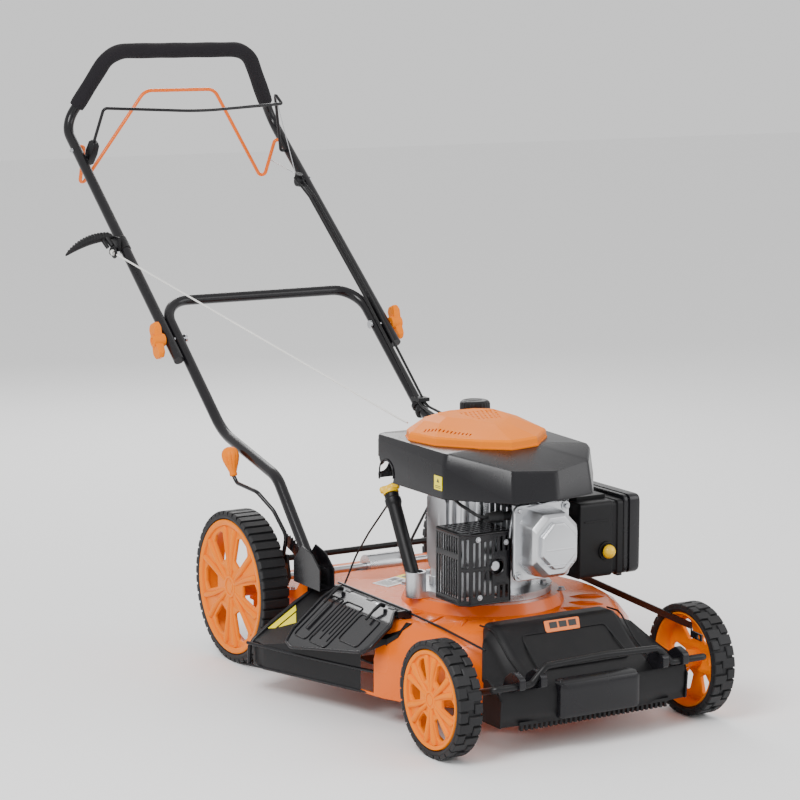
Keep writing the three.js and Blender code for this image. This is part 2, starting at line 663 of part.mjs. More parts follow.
function carburettor() {
  const body = block(62, 96, -228, -186, 304, 350);
  const bowl = rod([79, -207, 268], [79, -207, 310], 15, 12);
  const intake = rod([90, -207, 327], [airBox.x0 - gap, -207, 327], 18, 12);
  const outlet = rod([50 + gap, -207, 327], [70, -207, 327], 14, 12);
  return union(body, bowl, intake, outlet);
}

function airFilterCase() {
  const a = airBox;
  const outer = block(a.x0, a.x1, a.y0, a.y1, a.z0, a.z1);
  const hollow = block(a.x0 + a.wall, a.x1 + 5, a.y0 + a.wall, a.y1 - a.wall, a.z0 + a.wall, a.z1 - a.wall);
  const primerHole = rod([primerX, a.y0 - 5, primerZ], [primerX, a.y0 + 10, primerZ], 9 + running, 16);
  const airHole = rod([a.x0 - 5, -207, 328], [a.x0 + 5, -207, 328], 14, 14);
  return without(outer, hollow, primerHole, airHole);
}

function airFilterCover() {
  const a = airBox;
  const slab = prism([
    [a.y0 - 2, a.z0 + 6], [a.y0 + 6, a.z0], [a.y1 + 8, a.z0], [a.y1 + 16, a.z0 + 8], [a.y1 + 16, a.z1],
    [a.y1 + 8, a.z1 + 8], [a.y0 + 6, a.z1 + 8], [a.y0 - 2, a.z1],
  ], "x", a.x1 + gap, a.x1 + 40);
  const ribs = Array.from({ length: 4 }, (_, i) =>
    block(a.x1 + 30, a.x1 + 45, a.y0 + 14 + i * 34, a.y0 + 26 + i * 34, a.z0 + 12, a.z1 - 6));
  return without(slab, ...ribs, block(a.x1, a.x1 + 28, a.y0 + 6, a.y1 + 6, a.z0 + 8, a.z1 - 4));
}

function primerBulb() {
  const face = airBox.y0 - gap - primerTravel;
  const dome = new THREE.LatheGeometry(
    [[0, 0], [13, 0], [13, 3], [10, 9], [5, 12.5], [0, 13.5]].map((p) => new THREE.Vector2(...p)), 16);
  const bulb = solid(dome.rotateX(Math.PI).translate(0, face, 0).translate(primerX, 0, primerZ));
  return union(bulb, rod([primerX, face - 1, primerZ], [primerX, face + 14, primerZ], 9, 16));
}

function shroudForm(inset) {
  const half = shroud.halfWidth - inset;
  const plan = prism([
    [-half, 46 - inset], [-half, -225], [-half + 38, -292 + inset], [0, -309 + inset],
    [half - 38, -292 + inset], [half, -225], [half, 46 - inset],
  ], "z", 300, 600);
  const side = prism([
    [60, shroud.bottom - (inset > 0 ? 10 : 0)], [60, shroud.top - 26 - inset], [34, shroud.top - inset],
    [0, shroud.top - inset], [-277, shroud.top - 19 - inset], [-306, shroud.bottom + 30 - inset],
    [-320, shroud.bottom - (inset > 0 ? 10 : 0)],
  ], "x", -200, 200);
  return plan.intersect(side);
}

const neck = { x: 53, y: 26, radius: 17, rise: 31, cap: 29 };

function blowerHousing() {
  const airHole = rod([0, crank.y, 440], [0, crank.y, 520], 62, 24);
  const neckHole = rod([neck.x, neck.y, 440], [neck.x, neck.y, 520], neck.radius + 2, 16);
  const fillerNotch = rod([-200, 12, 392], [-100, 12, 392], 32, 18);
  const capWay = rod(fillerAt(fillerLength - 20), fillerAt(fillerLength + 170), 20, 16);
  const cornerRelief = block(-200, -120, 30, 80, shroud.bottom - 10, 430);
  return without(
    shroudForm(0), shroudForm(shroud.wall), airHole, neckHole, fillerNotch, capWay, cornerRelief);
}

function fuelTank() {
  const tank = without(
    block(-100, 140, 8, 40, shroud.bottom + 8, shroud.top - 32),
    block(-96, 136, 12, 36, shroud.bottom + 12, shroud.top - 36),
  );
  const outer = rod([neck.x, neck.y, shroud.top - 34], [neck.x, neck.y, shroud.top + neck.rise],
    neck.radius - 3, 16);
  const bore = rod([neck.x, neck.y, shroud.top - 40], [neck.x, neck.y, shroud.top + neck.rise + 6],
    neck.radius - 6, 16);
  return without(union(tank, outer), bore);
}

function fuelCap() {
  const base = shroud.top + neck.rise + gap;
  const r = neck.cap;
  return turned([
    [0, base], [neck.radius - 3 + running, base], [neck.radius - 3 + running, base - 9], [r - 3, base - 9],
    [r, base - 6], [r, base + 12], [r - 4, base + 16], [0, base + 16],
  ], 20, neck.x, neck.y);
}

// The faceted starter cover's foot, anticlockwise seen from above.
const coverFoot = [
  [-135, -49], [-122, -118], [-66, -184], [-15, -207], [44, -200], [104, -138], [112, -82],
  [92, -24], [16, -8], [-62, 2], [-116, -8],
];

function coverForm(inset, base) {
  const centre = [2, -92];
  const ring = (scale, z, follow) => coverFoot.map(([x, y]) => {
    const px = centre[0] + (x - centre[0]) * scale;
    const py = centre[1] + (y - centre[1]) * scale;
    return [px, py, z + follow * py * 0.0686];
  });
  const shrink = 1 - inset / 110;
  const foot = shroud.top + gap;
  return loft([
    ring(shrink, base ?? foot, 1), ring(shrink, foot + 12 - inset, 1),
    ring(0.8 * shrink, foot + 34 - inset, 0.7), ring(0.42 * shrink, foot + 50 - inset, 0.2),
  ]);
}

function recoilCover() {
  const slots = [0, 1, 2, 3].map((i) => {
    const x = -91 + i * 13;
    return block(x, x + 7, -246 - i * 6, -126 - i * 6, shroud.top + 5, shroud.top + 8);
  });
  const shell = without(coverForm(0), coverForm(4, shroud.top - 12), ...slots);
  const ropeHole = rod([-100, 40, 509], [-100, -60, 492], 4, 10);
  return without(shell, ropeHole);
}

function crankshaft() {
  return turned([
    [0, cut.z + 14], [crank.radius, cut.z + 14], [crank.radius, shroud.bottom],
    [crank.radius - 2.5, shroud.bottom + 2], [crank.radius - 2.5, 448], [0, 448],
  ], 20, 0, crank.y);
}

function flywheel() {
  const bore = crank.radius - 2.5 + gap;
  return turned([
    [bore, 408], [30, 408], [30, 420], [84, 420], [84, 444], [78, 444], [78, 428], [30, 428], [30, 440],
    [bore, 440],
  ], 20, 0, crank.y);
}

function bladeAdapter() {
  const bore = crank.radius + gap;
  const { z, enginePulley: r, thickness } = belt;
  return turned([
    [0, cut.z + cut.thickness + gap], [28, cut.z + cut.thickness + gap], [28, cut.z + 12], [20, cut.z + 16],
    [20, z - 8], [r + 8, z - 8], [r, z - thickness / 2], [r, z + thickness / 2], [r + 8, z + 8],
    [bore, z + 8],
    [bore, cut.z + 13.5], [0, cut.z + 13.5],
  ], 18, 0, crank.y);
}

function blade() {
  const half = cut.width / 2;
  const outline = [
    [-cut.radius + 8, -half], [cut.radius - 66, -half], [cut.radius - 58, -half + 6],
    [cut.radius - 6, -half + 2],
    [cut.radius - 8, half], [-cut.radius + 66, half], [-cut.radius + 58, half - 6],
    [-cut.radius + 6, half - 2],
  ];
  const bar = prism(outline.map(([x, y]) => [x, crank.y + y]), "z", cut.z, cut.z + cut.thickness);
  return without(bar, rod([0, crank.y, 80], [0, crank.y, 120], 6 + gap, 16));
}

function bladeBolt() {
  const head = rod([0, crank.y, cut.z - 12], [0, crank.y, cut.z - gap], 14, 6);
  const shank = rod([0, crank.y, cut.z - 2], [0, crank.y, cut.z + cut.thickness], 6, 12);
  return union(head, shank);
}

// ---------------------------------------------------------------- self-propelled drive

const shaftRadius = 7;

function driveShaft() {
  return rod([-armX - armPlate - 3, rearPivot.y, rearPivot.z],
    [armX + armPlate + 3, rearPivot.y, rearPivot.z],
    shaftRadius, 14);
}

const pulleyTop = belt.z + 9;

function gearbox() {
  const barrel = rod([-42, rearPivot.y, rearPivot.z], [42, rearPivot.y, rearPivot.z], 23, 16);
  const input = rod([0, rearPivot.y, pulleyTop + gap], [0, rearPivot.y, rearPivot.z], 13, 14);
  const bore = rod([-60, rearPivot.y, rearPivot.z], [60, rearPivot.y, rearPivot.z],
    shaftRadius + running, 14);
  return without(union(barrel, input), bore);
}

function gearboxPulley() {
  const { z, gearPulley: r, thickness } = belt;
  return turned([
    [0, z - 8], [r + 8, z - 8], [r, z - thickness / 2], [r, z + thickness / 2], [r + 8, z + 8], [14, z + 8],
    [14, pulleyTop], [0, pulleyTop],
  ], 20, 0, rearPivot.y);
}

// The belt wraps both pulleys and runs straight between them.
function driveBelt() {
  const loop = (grow) => {
    const front = belt.enginePulley + 1 + grow;
    const rear = belt.gearPulley + 1 + grow;
    const lean = Math.asin((rear - front) / (rearPivot.y - crank.y));
    const wrap = (radius, y, from, to) => Array.from({ length: 9 }, (_, i) => {
      const angle = from + ((to - from) * i) / 8;
      return [radius * Math.cos(angle), y + radius * Math.sin(angle)];
    });
    return [
      ...wrap(front, crank.y, Math.PI + lean, 2 * Math.PI - lean),
      ...wrap(rear, rearPivot.y, -lean, Math.PI + lean),
    ];
  };
  const low = belt.z - belt.thickness / 2 + gap;
  const high = belt.z + belt.thickness / 2 - gap;
  return without(prism(loop(7), "z", low, high), prism(loop(0), "z", low - 5, high + 5));
}

// ---------------------------------------------------------------- handle

const bracketTop = deck.pan + 78;

// Two cheeks and a foot that hold the end of one handle tube to the side of the deck.
function handleBracket(side) {
  const inner = deck.halfWidth + gap;
  const outer = lowerX + handleTube + gap;
  const front = 88;
  const back = 190;
  const cheek = (from, low) => {
    const [x0, x1] = side > 0 ? [from, from + 3] : [-from - 3, -from];
    return prism([
      [front, deck.pan + 5], [152, deck.pan + 5], [152, low], [back, low], [back, deck.pan + 46],
      [158, bracketTop], [118, bracketTop - 10], [front, deck.pan + 44],
    ], "x", x0, x1);
  };
  const foot = block(side * inner, side * (outer + 3), front, back, deck.pan + 4, deck.pan + 8);
  const packing = block(side * inner, side * (lowerX - handleTube - gap), 104, 150, deck.pan + 6,
    deck.pan + 40);
  return union(cheek(inner, 120), cheek(outer, deck.pan + 4), foot, packing);
}

const handleFoot = [150, 232];
const lowBend = [281, 373];
const highBend = [509, handleZ(509) - 8];
const crossY = 787;

function boltHoles() {
  return rod([-400, foldY, foldZ], [400, foldY, foldZ], bolt + gap, 14);
}

function lowerHandle() {
  const half = (side) => [
    [side * lowerX, ...handleFoot], [side * lowerX, ...lowBend, 70], [side * lowerX, ...highBend, 160],
    [side * lowerX, crossY, handleZ(crossY), 60],
  ];
  return without(bent([...half(-1), ...half(1).reverse()], handleTube, 10), boltHoles());
}

const kneeY = 1214;
const loopTop = { x: 165, y: 1161, z: 1156 };
const upperEnd = 657;

function upperCorners(side) {
  return [
    [side * upperX, upperEnd, handleZ(upperEnd)],
    [side * upperX, kneeY, handleZ(kneeY), 50],
    [side * loopTop.x, loopTop.y, loopTop.z, 62],
  ];
}

function upperHandle() {
  const path = [...upperCorners(-1), ...upperCorners(1).reverse()];
  const socket = (side, pivot, radius) => rod([side * (bailX - 5), pivot.y, pivot.z],
    [side * (upperX + 3), pivot.y, pivot.z], radius + running, 12);
  const sockets = both((side) => union(
    socket(side, drivePivot, driveWire),
    socket(side, brakePivot, brakeWire),
  ));
  return without(bent(path, handleTube, 10), boltHoles(), sockets);
}

function foamGrip() {
  const start = (side) => {
    const [, knee, corner] = upperCorners(side);
    return knee.slice(0, 3).map((v, i) => v + (corner[i] - v) * 0.25);
  };
  const path = [start(-1), upperCorners(-1)[2], upperCorners(1)[2], start(1)];
  return bent(path, foamRadius, 10, (handleTube + gap) / Math.cos(Math.PI / 10));
}

function foldBolt(side) {
  const head = lowerX - handleTube - gap;
  return union(
    rod([side * head, foldY, foldZ], [side * (head - 5), foldY, foldZ], 9, 14),
    rod([side * (head - 1), foldY, foldZ], [side * (upperX + handleTube + 18), foldY, foldZ], bolt, 12),
  );
}

function wingKnob(side) {
  const face = upperX + handleTube + gap;
  const lean = -0.35;
  const turn = ([y, z]) => [
    foldY + y * Math.cos(lean) - z * Math.sin(lean),
    foldZ + y * Math.sin(lean) + z * Math.cos(lean),
  ];
  const bow = [
    [-10, -9], [-15, -30], [-9, -36], [9, -36], [15, -30], [10, -9],
    [10, 9], [15, 30], [9, 36], [-9, 36], [-15, 30], [-10, 9],
  ];
  const [x0, x1] = side > 0 ? [face + 6, face + 24] : [-face - 24, -face - 6];
  const wings = prism(bow.map(turn), "x", x0, x1);
  const hub = rod([side * face, foldY, foldZ], [side * (face + 26), foldY, foldZ], 13, 16);
  const bore = rod([side * (face - 2), foldY, foldZ], [side * (face + 19), foldY, foldZ], bolt + gap, 12);
  return without(union(wings, hub), bore);
}

// Both bails turn in sockets drilled in the inner sides of the upper tubes.
const drivePivot = { y: 1160, z: handleZ(1160) };
const brakePivot = { y: 1132, z: handleZ(1132) };
const driveWire = 4;
const brakeWire = 3.5;
const bailX = upperX - handleTube - gap;

function driveBail() {
  const half = (side) => [
    [side * (upperX + 1), drivePivot.y, drivePivot.z],
    [side * (bailX - 9), drivePivot.y, drivePivot.z, 7],
    [side * (bailX - 16), drivePivot.y + 46, drivePivot.z - 96, 9],
    [side * 84, drivePivot.y + 5, drivePivot.z + 116, 30],
  ];
  return bent([...half(-1), ...half(1).reverse()], driveWire, 8);
}

function brakeBail() {
  const root = (side) => [
    [side * (upperX + 1), brakePivot.y, brakePivot.z],
    [side * (bailX - 9), brakePivot.y, brakePivot.z, 6],
  ];
  const near = [-222, brakePivot.y - 58, brakePivot.z + 107, 9];
  const hook = [
    [206, brakePivot.y - 57, brakePivot.z + 107, 5],
    [204, brakePivot.y - 28, brakePivot.z + 128, 5],
  ];
  const bar = [0, brakePivot.y - 67, brakePivot.z + 96, 700];
  return bent([...root(-1), near, bar, ...hook, ...root(1).reverse()], brakeWire, 8);
}

// ---------------------------------------------------------------- starter rope and cables

const guideY = 920;
const guideX = -(upperX + handleTube + gap);

function ropeGuide() {
  const z = handleZ(guideY);
  const foot = block(guideX - 6, guideX, guideY - 16, guideY + 20, z - 12, z + 18);
  const eye = new THREE.TorusGeometry(9, 3, 8, 16).rotateX(Math.PI / 2 - 0.7);
  return union(foot, solid(eye.translate(guideX - 14, guideY - 6, z - 14)));
}

const gripAt = [guideX - 20, guideY + 14, handleZ(guideY) + 14];

function starterGrip() {
  const [x, y, z] = gripAt;
  const bar = loft([0, 0.15, 0.45, 0.75, 1].map((t, i) => {
    const radius = [9, 11, 11, 9, 5][i];
    const centre = [x + 12 - 104 * t, y + 8 * Math.sin(Math.PI * t), z + 4 - 34 * t * t];
    return circle(radius, 10).map((p) => [centre[0], centre[1] + p.x, centre[2] + p.y]);
  }));
  return union(bar, rod([x, y, z + 2], [x + 6, y - 17, z - 15], 6, 12, 5));
}

function starterRope() {
  return bent([[-100, 14, 505], [-104, 40, 510], [guideX - 14, guideY - 7, handleZ(guideY) - 14]], 2, 8);
}

const hold = handleTube + 6; // a cable's centre line lies this far above the tubes'
const lift = new THREE.Vector2(-handleSlope, 1).normalize().multiplyScalar(hold);

// Both cables start at the stop on the left upper tube and run down over the left tubes.
function cableRun(x, tail) {
  const along = (y) => [x, y + lift.x, handleZ(y) + lift.y];
  return [
    [x - 6, 1046, handleZ(1046) + 14], along(1000), along(foldY + 40),
    [x - 8, highBend[0] + lift.x, highBend[1] + lift.y + 4, 60], ...tail,
  ];
}

function brakeCable() {
  const x = lowerX + 10;
  return bent(cableRun(x, [
    [x - 14, 330, 424, 60], [192, 150, 412, 60], [112, 49, 430],
  ]), 3, 8);
}

function driveCable() {
  const x = lowerX - 3;
  return bent(cableRun(x, [
    [x - 22, 330, 418, 60], [150, 300, 330, 50], [60, rearPivot.y - 26, rearPivot.z + 70, 40],
    [30, rearPivot.y - 22, rearPivot.z + 15],
  ]), 3, 8);
}

// ---------------------------------------------------------------- assembly

put("deck", "orangeSteel", deckShell());
put("trailing_shield", "rubber", trailingShield());
put("front_fascia", "blackPlastic", fascia());
put("discharge_chute", "blackPlastic", dischargeChute());
put("flap_hinge", "blackPaint", flapHinge());
put("discharge_flap", "smokyPlastic", dischargeFlap());

for (const [side, word] of [[-1, "right"], [1, "left"]]) {
  wheelSet(`front_${word}`, frontWheel, frontAxle, side);
  wheelSet(`rear_${word}`, rearWheel, rearAxle, side);
  put(`fold_bolt_${word}`, "steel", foldBolt(side));
  put(`wing_knob_${word}`, "orangePlastic", wingKnob(side));
}

put("front_axle", "blackenedSteel", frontAxleRod());
put("height_link", "blackPaint", heightLink());
put("rear_axle", "blackenedSteel", rearAxleArms());
put("height_lever", "blackPaint", heightLever());
put("lever_knob", "orangePlastic", leverKnob());

put("crankcase", "castAluminium", crankcase());
put("cylinder", "castAluminium", finnedCylinder());
put("rocker_cover", "castAluminium", rockerCover());
put("spark_plug", "rubber", sparkPlug());
put("muffler", "steel", muffler());
put("muffler_guard", "blackPaint", mufflerGuard());
put("carburettor", "castAluminium", carburettor());
put("air_filter_case", "blackPlastic", airFilterCase());
put("air_filter_cover", "blackPlastic", airFilterCover());
put("primer_bulb", "yellowPlastic", primerBulb());
put("blower_housing", "blackPlastic", blowerHousing());
put("fuel_tank", "blackPlastic", fuelTank());
put("fuel_cap", "blackPlastic", fuelCap());
put("recoil_cover", "orangePlastic", recoilCover());
put("oil_filler_tube", "blackPlastic", fillerTube());
put("oil_dipstick", "yellowPlastic", dipstick());
put("crankshaft", "steel", crankshaft());
put("flywheel", "castAluminium", flywheel());
put("blade_adapter", "steel", bladeAdapter());
put("blade", "blackenedSteel", blade());
put("blade_bolt", "steel", bladeBolt());

put("drive_belt", "rubber", driveBelt());
put("gearbox", "castAluminium", gearbox());
put("gearbox_pulley", "steel", gearboxPulley());
put("drive_shaft", "steel", driveShaft());

put("handle_bracket_right", "blackPaint", union(handleBracket(-1), heightQuadrant()));
put("handle_bracket_left", "blackPaint", handleBracket(1));
put("lower_handle", "blackPaint", lowerHandle());
put("upper_handle", "blackPaint", upperHandle());
put("foam_grip", "foam", foamGrip());
put("drive_bail", "orangePlastic", driveBail());
put("brake_bail", "blackPaint", brakeBail());
put("rope_guide", "blackPlastic", ropeGuide());
put("starter_grip", "rubber", starterGrip());
put("starter_rope", "rope", starterRope());
put("brake_cable", "rubber", brakeCable());
put("drive_cable", "rubber", driveCable());

const box = new THREE.Box3().setFromObject(machine);
const middle = box.getCenter(new THREE.Vector3());
machine.position.set(-middle.x, -middle.y, -box.min.z);

const group = new THREE.Group();
group.add(machine);

export default group;
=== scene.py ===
# %% [markdown]
# # A petrol lawn mower
# A walk-behind rotary mower: a pressed steel deck on four plastic wheels, a small vertical-shaft
# engine on top and a folding tube handle behind. The frame that is loaded here already holds every
# part that has to fit or move. This notebook gives each part its real surface, and adds the small
# things a frame leaves out: tread blocks, ribs, bolts, labels, springs and clips.

# %% Load the frame
import math

import bmesh
import bpy
import numpy as np
from mathutils import Matrix, Vector

import json

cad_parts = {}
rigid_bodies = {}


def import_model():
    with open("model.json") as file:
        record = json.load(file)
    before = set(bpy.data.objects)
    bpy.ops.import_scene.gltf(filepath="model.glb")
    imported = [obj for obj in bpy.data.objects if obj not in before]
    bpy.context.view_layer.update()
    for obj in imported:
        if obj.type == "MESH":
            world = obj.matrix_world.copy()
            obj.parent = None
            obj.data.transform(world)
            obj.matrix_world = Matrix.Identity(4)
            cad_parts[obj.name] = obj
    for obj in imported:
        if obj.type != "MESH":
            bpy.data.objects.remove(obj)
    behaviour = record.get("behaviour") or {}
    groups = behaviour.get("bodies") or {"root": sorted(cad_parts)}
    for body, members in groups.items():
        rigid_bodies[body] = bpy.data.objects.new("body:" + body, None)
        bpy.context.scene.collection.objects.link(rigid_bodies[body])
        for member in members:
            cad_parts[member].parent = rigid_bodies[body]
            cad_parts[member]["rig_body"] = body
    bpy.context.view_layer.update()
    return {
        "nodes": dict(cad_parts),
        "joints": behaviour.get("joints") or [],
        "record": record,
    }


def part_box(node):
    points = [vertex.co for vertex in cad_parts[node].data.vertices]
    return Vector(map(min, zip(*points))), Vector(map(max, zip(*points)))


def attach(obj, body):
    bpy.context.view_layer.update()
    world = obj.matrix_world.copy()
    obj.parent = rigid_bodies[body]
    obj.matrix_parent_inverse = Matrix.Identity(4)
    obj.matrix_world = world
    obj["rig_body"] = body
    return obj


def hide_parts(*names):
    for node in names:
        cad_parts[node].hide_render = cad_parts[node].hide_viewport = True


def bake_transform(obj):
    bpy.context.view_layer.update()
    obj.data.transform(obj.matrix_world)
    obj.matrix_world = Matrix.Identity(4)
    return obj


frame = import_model()
joints = {joint["name"]: joint for joint in frame["joints"]}

# %% [markdown]
# ## A ruler
# Mower parts are drawn in millimetres about a datum on the ground, on the centre line, midway
# between the axles. The crankshaft stands 85 mm ahead of that datum, so its joint gives the datum's
# place in the frame. `at` turns a place in millimetres into one in metres, and everything below
# uses it, so nothing has to be fitted afterwards.

# %% The datum and the sizes that the frame shares
CRANK_Y = -85.0
crank_joint = Vector(joints["crank_spin"]["pos_m"])
DATUM = Vector((crank_joint.x, crank_joint.y - CRANK_Y / 1000, 0.0))


def at(x, y, z):
    """A place in millimetres from the datum, as a place in the frame."""
    return DATUM + Vector((x, y, z)) / 1000


def node_box(node):
    """A frame part's lowest and highest corners, in millimetres from the datum."""
    low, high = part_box(node)
    return (low - DATUM) * 1000, (high - DATUM) * 1000


WHEELBASE = 745.0
SLOPE = 0.8  # the straight handle tubes rise this much for each millimetre back
FOLD = (703.0, 588.0)  # the fold bolts' axis
TUBE = 11.0  # radius of the handle tubes
LOWER_X, UPPER_X = 230.0, 252.4
FACET = 0.2  # a facet's flat may lie this far inside the round it stands for


def handle_z(y):
    """Height of the straight handle tubes' centre line at a distance back."""
    return FOLD[1] + SLOPE * (y - FOLD[0])


print("datum:", tuple(round(v, 4) for v in DATUM))

# %% [markdown]
# ## Camera, floor and light
# The camera stands low at the mower's front right, well back, so the lens is long and the
# perspective gentle. A white world gives the even light of a studio tent, two large soft lamps
# make the long highlights that show the tubes are round, and the floor is plain and pale.

# %% Camera
CAMERA_PLACE = (-2467.4, -3983.1, 1290.0)
CAMERA_YAW, CAMERA_PITCH = 30.4676, -9.0859
camera_data = bpy.data.cameras.new("camera")
camera_data.lens, camera_data.sensor_width = 115.89, 36.0
camera_data.clip_end = 60.0
camera = bpy.data.objects.new("camera", camera_data)
bpy.context.scene.collection.objects.link(camera)
camera.location = at(*CAMERA_PLACE)
yaw, pitch = math.radians(CAMERA_YAW), math.radians(CAMERA_PITCH)
look = Vector((math.cos(pitch) * math.sin(yaw), math.cos(pitch) * math.cos(yaw), math.sin(pitch)))
camera.rotation_euler = look.to_track_quat("-Z", "Y").to_euler()
bpy.context.scene.camera = camera

# %% Lights
world = bpy.data.worlds.new("studio")
world.use_nodes = True
world.node_tree.nodes["Background"].inputs["Color"].default_value = (1.0, 1.0, 1.0, 1.0)
world.node_tree.nodes["Background"].inputs["Strength"].default_value = 0.95
bpy.context.scene.world = world


def soft_light(name, place, target, size, watts):
    """A square area light in metres, pointing at a place in millimetres from the datum."""
    data = bpy.data.lights.new(name, "AREA")
    data.shape, data.size, data.energy = "SQUARE", size, watts
    light = bpy.data.objects.new(name, data)
    light.location = at(*place)
    light.rotation_euler = (at(*target) - light.location).to_track_quat("-Z", "Y").to_euler()
    bpy.context.scene.collection.objects.link(light)


soft_light("key", (-2600, -1500, 3000), (0, 0, 300), 1.6, 125)
soft_light("fill", (2600, -2200, 1800), (0, 0, 400), 2.2, 45)
soft_light("rim", (900, 3000, 2200), (0, 200, 500), 1.8, 50)

# %% Floor
floor_mesh = bpy.data.meshes.new("floor")
REACH = 14.0
floor_mesh.from_pydata(
    [(-REACH, -REACH, 0), (REACH, -REACH, 0), (REACH, REACH, 0), (-REACH, REACH, 0)], [], [(0, 1, 2, 3)]
)
floor = bpy.data.objects.new("floor", floor_mesh)
bpy.context.scene.collection.objects.link(floor)
floor_paint = bpy.data.materials.new("floor_paint")
floor_paint.use_nodes = True
floor_shader = floor_paint.node_tree.nodes["Principled BSDF"]
floor_shader.inputs["Base Color"].default_value = (0.93, 0.93, 0.93, 1)
floor_shader.inputs["Roughness"].default_value = 0.9
floor_mesh.materials.append(floor_paint)

# %% [markdown]
# ## Surface effects
# Real finishes share a few effects: a fine grain, a slow change of tone, worn edges, a film of dust
# on what faces up, and fine lines. Each could be painted by hand, but a procedural node
# group gives the same effect to any material at the right scale, with its own values.

# %% A helper that starts a node group
def effect(name, inputs, outputs):
    """A shader node group with named float or colour sockets. Gives its tree, input and output nodes."""
    tree = bpy.data.node_groups.new(name, "ShaderNodeTree")
    for direction, sockets in (("INPUT", inputs), ("OUTPUT", outputs)):
        for label, value in sockets:
            kind = "NodeSocketColor" if isinstance(value, tuple) else "NodeSocketFloat"
            socket = tree.interface.new_socket(name=label, in_out=direction, socket_type=kind)
            socket.default_value = value
    return tree, tree.nodes.new("NodeGroupInput"), tree.nodes.new("NodeGroupOutput")


def maths(tree, operation, first, second=None, third=None, clamp=False):
    """A Math node's output; each value is a number or a socket."""
    node = tree.nodes.new("ShaderNodeMath")
    node.operation, node.use_clamp = operation, clamp
    for socket, value in zip(node.inputs, (first, second, third)):
        if isinstance(value, bpy.types.NodeSocket):
            tree.links.new(value, socket)
        elif value is not None:
            socket.default_value = value
    return node.outputs[0]


def noise(tree, scale, detail, stretch=None):
    """A noise texture in the piece's own coordinates, whose features are 1/scale metres."""
    place = tree.nodes.new("ShaderNodeTexCoord").outputs["Object"]
    if stretch:
        mapping = tree.nodes.new("ShaderNodeMapping")
        mapping.inputs["Scale"].default_value = stretch
        tree.links.new(place, mapping.inputs["Vector"])
        place = mapping.outputs[0]
    node = tree.nodes.new("ShaderNodeTexNoise")
    node.inputs["Detail"].default_value = detail
    tree.links.new(place, node.inputs["Vector"])
    if isinstance(scale, bpy.types.NodeSocket):
        tree.links.new(scale, node.inputs["Scale"])
    else:
        node.inputs["Scale"].default_value = scale
    return node.outputs[0]


def mixed(tree, factor, first, second):
    """A colour mix; each of the three is a value or a socket."""
    node = tree.nodes.new("ShaderNodeMix")
    node.data_type = "RGBA"
    for socket, value in ((node.inputs[0], factor), (node.inputs[6], first), (node.inputs[7], second)):
        if isinstance(value, bpy.types.NodeSocket):
            tree.links.new(value, socket)
        else:
            socket.default_value = value if isinstance(value, float) else (*value, 1)[:4]
    return node.outputs[2]


# %% Fine grain: height and roughness of a moulded or cast skin
tree, given, result = effect(
    "fine_grain",
    [("Scale", 900.0), ("Roughness", 0.4), ("Spread", 0.1)],
    [("Height", 0.0), ("Roughness", 0.0)],
)
fine = noise(tree, given.outputs["Scale"], 3.0)
slow = noise(tree, 14.0, 2.0)
tree.links.new(fine, result.inputs["Height"])
swing = maths(tree, "MULTIPLY_ADD", slow, 2.0, -1.0)
spread = maths(tree, "MULTIPLY_ADD", swing, given.outputs["Spread"], given.outputs["Roughness"], clamp=True)
tree.links.new(spread, result.inputs["Roughness"])

# %% Slow change of tone over a piece
tree, given, result = effect(
    "tone_drift", [("Color", (0.5, 0.5, 0.5, 1)), ("Amount", 0.1), ("Scale", 9.0)],
    [("Color", (0, 0, 0, 1))]
)
drift = maths(tree, "MULTIPLY_ADD", noise(tree, given.outputs["Scale"], 3.0), 2.0, -1.0)
darker = maths(tree, "MULTIPLY_ADD", drift, given.outputs["Amount"], 1.0)
tint = tree.nodes.new("ShaderNodeHueSaturation")
tree.links.new(darker, tint.inputs["Value"])
tree.links.new(given.outputs["Color"], tint.inputs["Color"])
tree.links.new(tint.outputs[0], result.inputs["Color"])

# %% Wear on edges, broken up so that it isn't an even line
tree, given, result = effect("edge_wear", [("Amount", 0.3)], [("Mask", 0.0)])
geometry = tree.nodes.new("ShaderNodeNewGeometry")
sharp = maths(tree, "MULTIPLY_ADD", geometry.outputs["Pointiness"], 9.0, -4.85, clamp=True)
broken = maths(tree, "MULTIPLY_ADD", noise(tree, 160.0, 4.0), 2.4, -0.7, clamp=True)
worn = maths(tree, "MULTIPLY", maths(tree, "MULTIPLY", sharp, broken), given.outputs["Amount"], clamp=True)
tree.links.new(worn, result.inputs["Mask"])

# %% Dust that lies on what faces up
tree, given, result = effect("dust_film", [("Amount", 0.2)], [("Mask", 0.0)])
geometry = tree.nodes.new("ShaderNodeNewGeometry")
split = tree.nodes.new("ShaderNodeSeparateXYZ")
tree.links.new(geometry.outputs["Normal"], split.inputs[0])
upward = maths(tree, "MULTIPLY_ADD", split.outputs["Z"], 1.4, -0.4, clamp=True)
patchy = maths(tree, "MULTIPLY_ADD", noise(tree, 28.0, 5.0), 2.0, -0.6, clamp=True)
film = maths(tree, "MULTIPLY", maths(tree, "MULTIPLY", upward, patchy), given.outputs["Amount"], clamp=True)
tree.links.new(film, result.inputs["Mask"])

# %% Fine lines left by machining, or by the strands of a cord
tree, given, result = effect("fine_lines", [("Scale", 700.0)], [("Height", 0.0)])
tree.links.new(noise(tree, given.outputs["Scale"], 2.0, stretch=(0.05, 1.0, 1.0)), result.inputs["Height"])


# %% [markdown]
# ## Finishes
# A finish is a Principled shader fed by those groups. What is the same all over a surface, such as
# the clear coat on paint, is set on the shader itself; what changes over it comes from a group.

